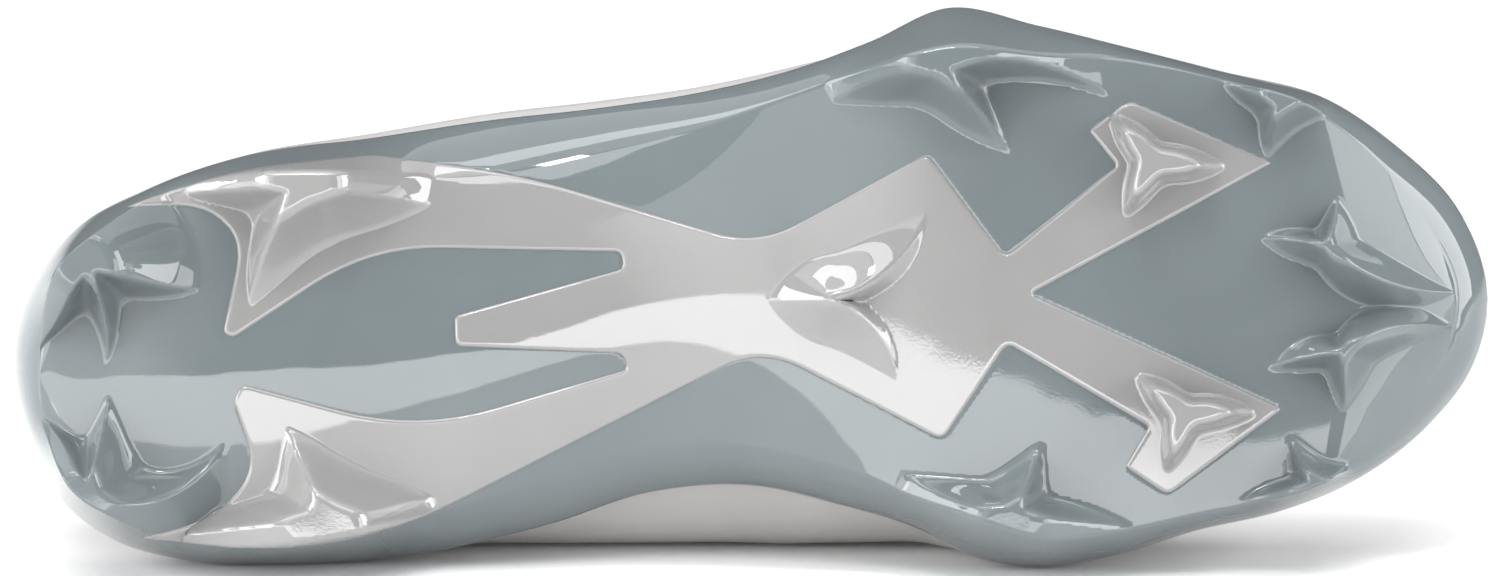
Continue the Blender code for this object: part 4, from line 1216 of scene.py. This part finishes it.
def textured(bare, group, given, tones, relief):
    """Gives a bare material a colour from dark to light by a group's shade, which on plastic is a random
    cloudy tone and on knitted cloth a painted shade in the hollows between the loops, and a bump by its
    height.
    """
    material, tree, shader = bare
    effect = node(tree, "ShaderNodeGroup", node_tree=group, **given)
    tint = node(tree, "ShaderNodeMix", data_type="RGBA")
    tint.inputs["A"].default_value = (*tones[0], 1)
    tint.inputs["B"].default_value = (*tones[1], 1)
    bump = node(tree, "ShaderNodeBump", Strength=relief[0], Distance=relief[1])
    wire(tree, (effect, "Shade", tint, "Factor"), (tint, "Result", shader, "Base Color"))
    wire(tree, (effect, "Height", bump, "Height"), (bump, "Normal", shader, "Normal"))
    return material


def make_materials():
    moulding = moulding_group()
    knit = knit_group()
    made = {}
    for name, (dark, light, roughness, shine, wave, grain) in PLASTICS.items():
        given = {"Wave": wave, "Grain": grain, "Streak": 1.0}
        bare = material_with(name, roughness, IOR=shine)
        made[name] = textured(bare, moulding, given, (dark, light), PLASTIC_RELIEF)
    # Each cloth's dark tone is painted shade, laid into the hollows between its knit loops.
    for name, (dark, light, pitch, depth) in CLOTHS.items():
        bare = material_with(name, CLOTH_ROUGHNESS)
        bare[2].inputs["Sheen Weight"].default_value = CLOTH_SHEEN
        made[name] = textured(bare, knit, {"Pitch": pitch}, (dark, light), (CLOTH_RELIEF, depth))
    return made


# The room, in metres

FLOOR_REACH = 6.0
CARD_Y = -1.6
SOFT_BOXES = [
    # name, place, the point it faces, width and height, glow
    ("roof", (0.0, 0.3, 1.9), (0, 0.3, 0), (3.6, 2.8), 1.25),
    ("top_box", (-0.1, -1.0, 1.25), (0, 0, 0.05), (1.3, 0.35), 4.0),
    ("ridge_box", (-0.1, -0.25, 1.3), (0, 0, 0.05), (1.5, 0.3), 5.0),
    ("spark", (-0.15, -0.9, 1.5), (0, 0, 0.05), (0.2, 0.14), 45.0),
    ("heel_card", (-1.05, -0.85, 0.25), (0, 0, 0.05), (0.6, 0.5), 4.5),
    ("toe_card", (1.05, -0.8, 0.25), (0, 0, 0.05), (0.5, 0.5), 4.5),
    ("heel_box", (-1.0, -0.22, 0.36), (0, 0, 0.05), (0.7, 0.7), 7.0),
    ("toe_box", (1.0, -0.16, 0.34), (0, 0, 0.05), (0.6, 0.6), 7.0),
]
LOW_CARD = [(-1.30, 0.0), (1.20, 0.0), (1.20, 0.092), (0.055, 0.25), (-1.30, 0.25)]
LOW_CARD_GLOW = 5.4
HEEL_GLOW = [(-1.30, 0.25), (0.0, 0.25), (0.0, 1.0), (-1.30, 1.0)]
HEEL_GLOW_STRENGTH = 1.7
HEEL_GLOW_FADE = (-0.42, 0.0)
SENSOR_MM = 36.0
CAMERA_DISTANCE = 4.0
VIEW_WIDTH = 0.2913
VIEW_CENTRE = (143.7, -0.4, 12.0)


def aim(thing, target):
    thing.rotation_mode = "QUATERNION"
    thing.rotation_quaternion = (Vector(target) - thing.location).to_track_quat("-Z", "Y")


def soft_light(name, place, target, size, glow):
    """A soft box whose face shines with the given brightness."""
    lamp = bpy.data.lights.new(name, "AREA")
    lamp.shape = "RECTANGLE"
    lamp.size, lamp.size_y = size
    lamp.energy = glow * pi * size[0] * size[1]
    made = put(name, lamp)
    made.location = place
    aim(made, target)
    made.visible_camera = False


def flat_sheet(name, corners, material):
    """One flat face that belongs to the room."""
    mesh = bpy.data.meshes.new(name)
    mesh.from_pydata(corners, [], [tuple(range(len(corners)))])
    mesh.materials.append(material)
    sheet = put(name, mesh)
    return sheet


def shining_card(name, outline, glow, fade=None):
    """A shining card in front of the sole. Fade is the x up to which it is bright and where it ends."""
    shining, tree, shader = material_with(name, 1.0)
    shader.inputs["Base Color"].default_value = (0, 0, 0, 1)
    shader.inputs["Emission Color"].default_value = (1, 1, 1, 1)
    shader.inputs["Emission Strength"].default_value = glow
    if fade:
        place = node(tree, "ShaderNodeTexCoord")
        split = node(tree, "ShaderNodeSeparateXYZ")
        ends = {"From Min": fade[0], "From Max": fade[1], "To Min": 1.0, "To Max": 0.0}
        ramp = node(tree, "ShaderNodeMapRange", **ends)
        wire(tree, (place, "Object", split, "Vector"), (split, "X", ramp, "Value"))
        wire(tree, (ramp, "Result", shader, "Emission Color"))
    card = flat_sheet(name, [(x, CARD_Y, z) for x, z in outline], shining)
    card.visible_camera = False
    card.visible_shadow = False


def make_room():
    paper, _, shader = material_with("pale_paper", 0.7)
    shader.inputs["Base Color"].default_value = (0.94, 0.94, 0.94, 1)
    corners = [(-1, -1), (1, -1), (1, 1), (-1, 1)]
    flat_sheet("floor", [(x * FLOOR_REACH, y * FLOOR_REACH, 0) for x, y in corners], paper)
    world = bpy.data.worlds.new("studio")
    world.use_nodes = True
    background = world.node_tree.nodes["Background"]
    background.inputs["Color"].default_value = (0.93, 0.96, 1.0, 1)
    background.inputs["Strength"].default_value = 0.16
    bpy.context.scene.world = world
    bpy.context.scene.view_settings.view_transform = "Standard"
    for box in SOFT_BOXES:
        soft_light(*box)
    shining_card("low_card", LOW_CARD, LOW_CARD_GLOW)
    shining_card("heel_glow", HEEL_GLOW, HEEL_GLOW_STRENGTH, HEEL_GLOW_FADE)


def make_camera():
    """The photograph's view: square on to the leaning sole."""
    tilt = radians(LEAN_DEG)
    x, y, z = to_world([VIEW_CENTRE])[0]
    eye = bpy.data.cameras.new("photo_view")
    eye.sensor_width = SENSOR_MM
    eye.lens = SENSOR_MM * CAMERA_DISTANCE / VIEW_WIDTH
    eye.clip_start = 0.05
    eye.clip_end = 40.0
    camera = put("photo_view", eye)
    camera.location = (x, y - CAMERA_DISTANCE * cos(tilt), z + CAMERA_DISTANCE * sin(tilt))
    aim(camera, (x, y, z))
    bpy.context.scene.camera = camera


def build():
    finish = make_materials()
    plate = finish["grey_plate_plastic"]
    finish_piece(make_plate(plate), "outsole", "outsole")
    finish_piece(make_plate_inside(plate), "outsole")
    finish_piece(make_insert(finish["silver_plastic"]), "sole_insert", "sole_insert")
    place = instep_surface(upper_ribs(COARSE_RIB_ROWS, 3)[::4][-6:])
    ribs = upper_ribs(RIB_ROWS, 1)
    shell = make_upper(ribs, place, finish["white_synthetic"], finish["lining_knit"])
    finish_piece(shell, "upper", "upper")
    finish_piece(make_stitches(ribs, finish["white_thread"]), "upper")
    finish_piece(make_tongue(place, finish["tongue_knit"]), "tongue", "tongue")
    finish_piece(make_insole(finish["insole_cloth"]), "insole", "insole")
    finish_piece(make_lace(place, finish["lace_weave"]), "laces", "laces")


build()
make_room()
make_camera()
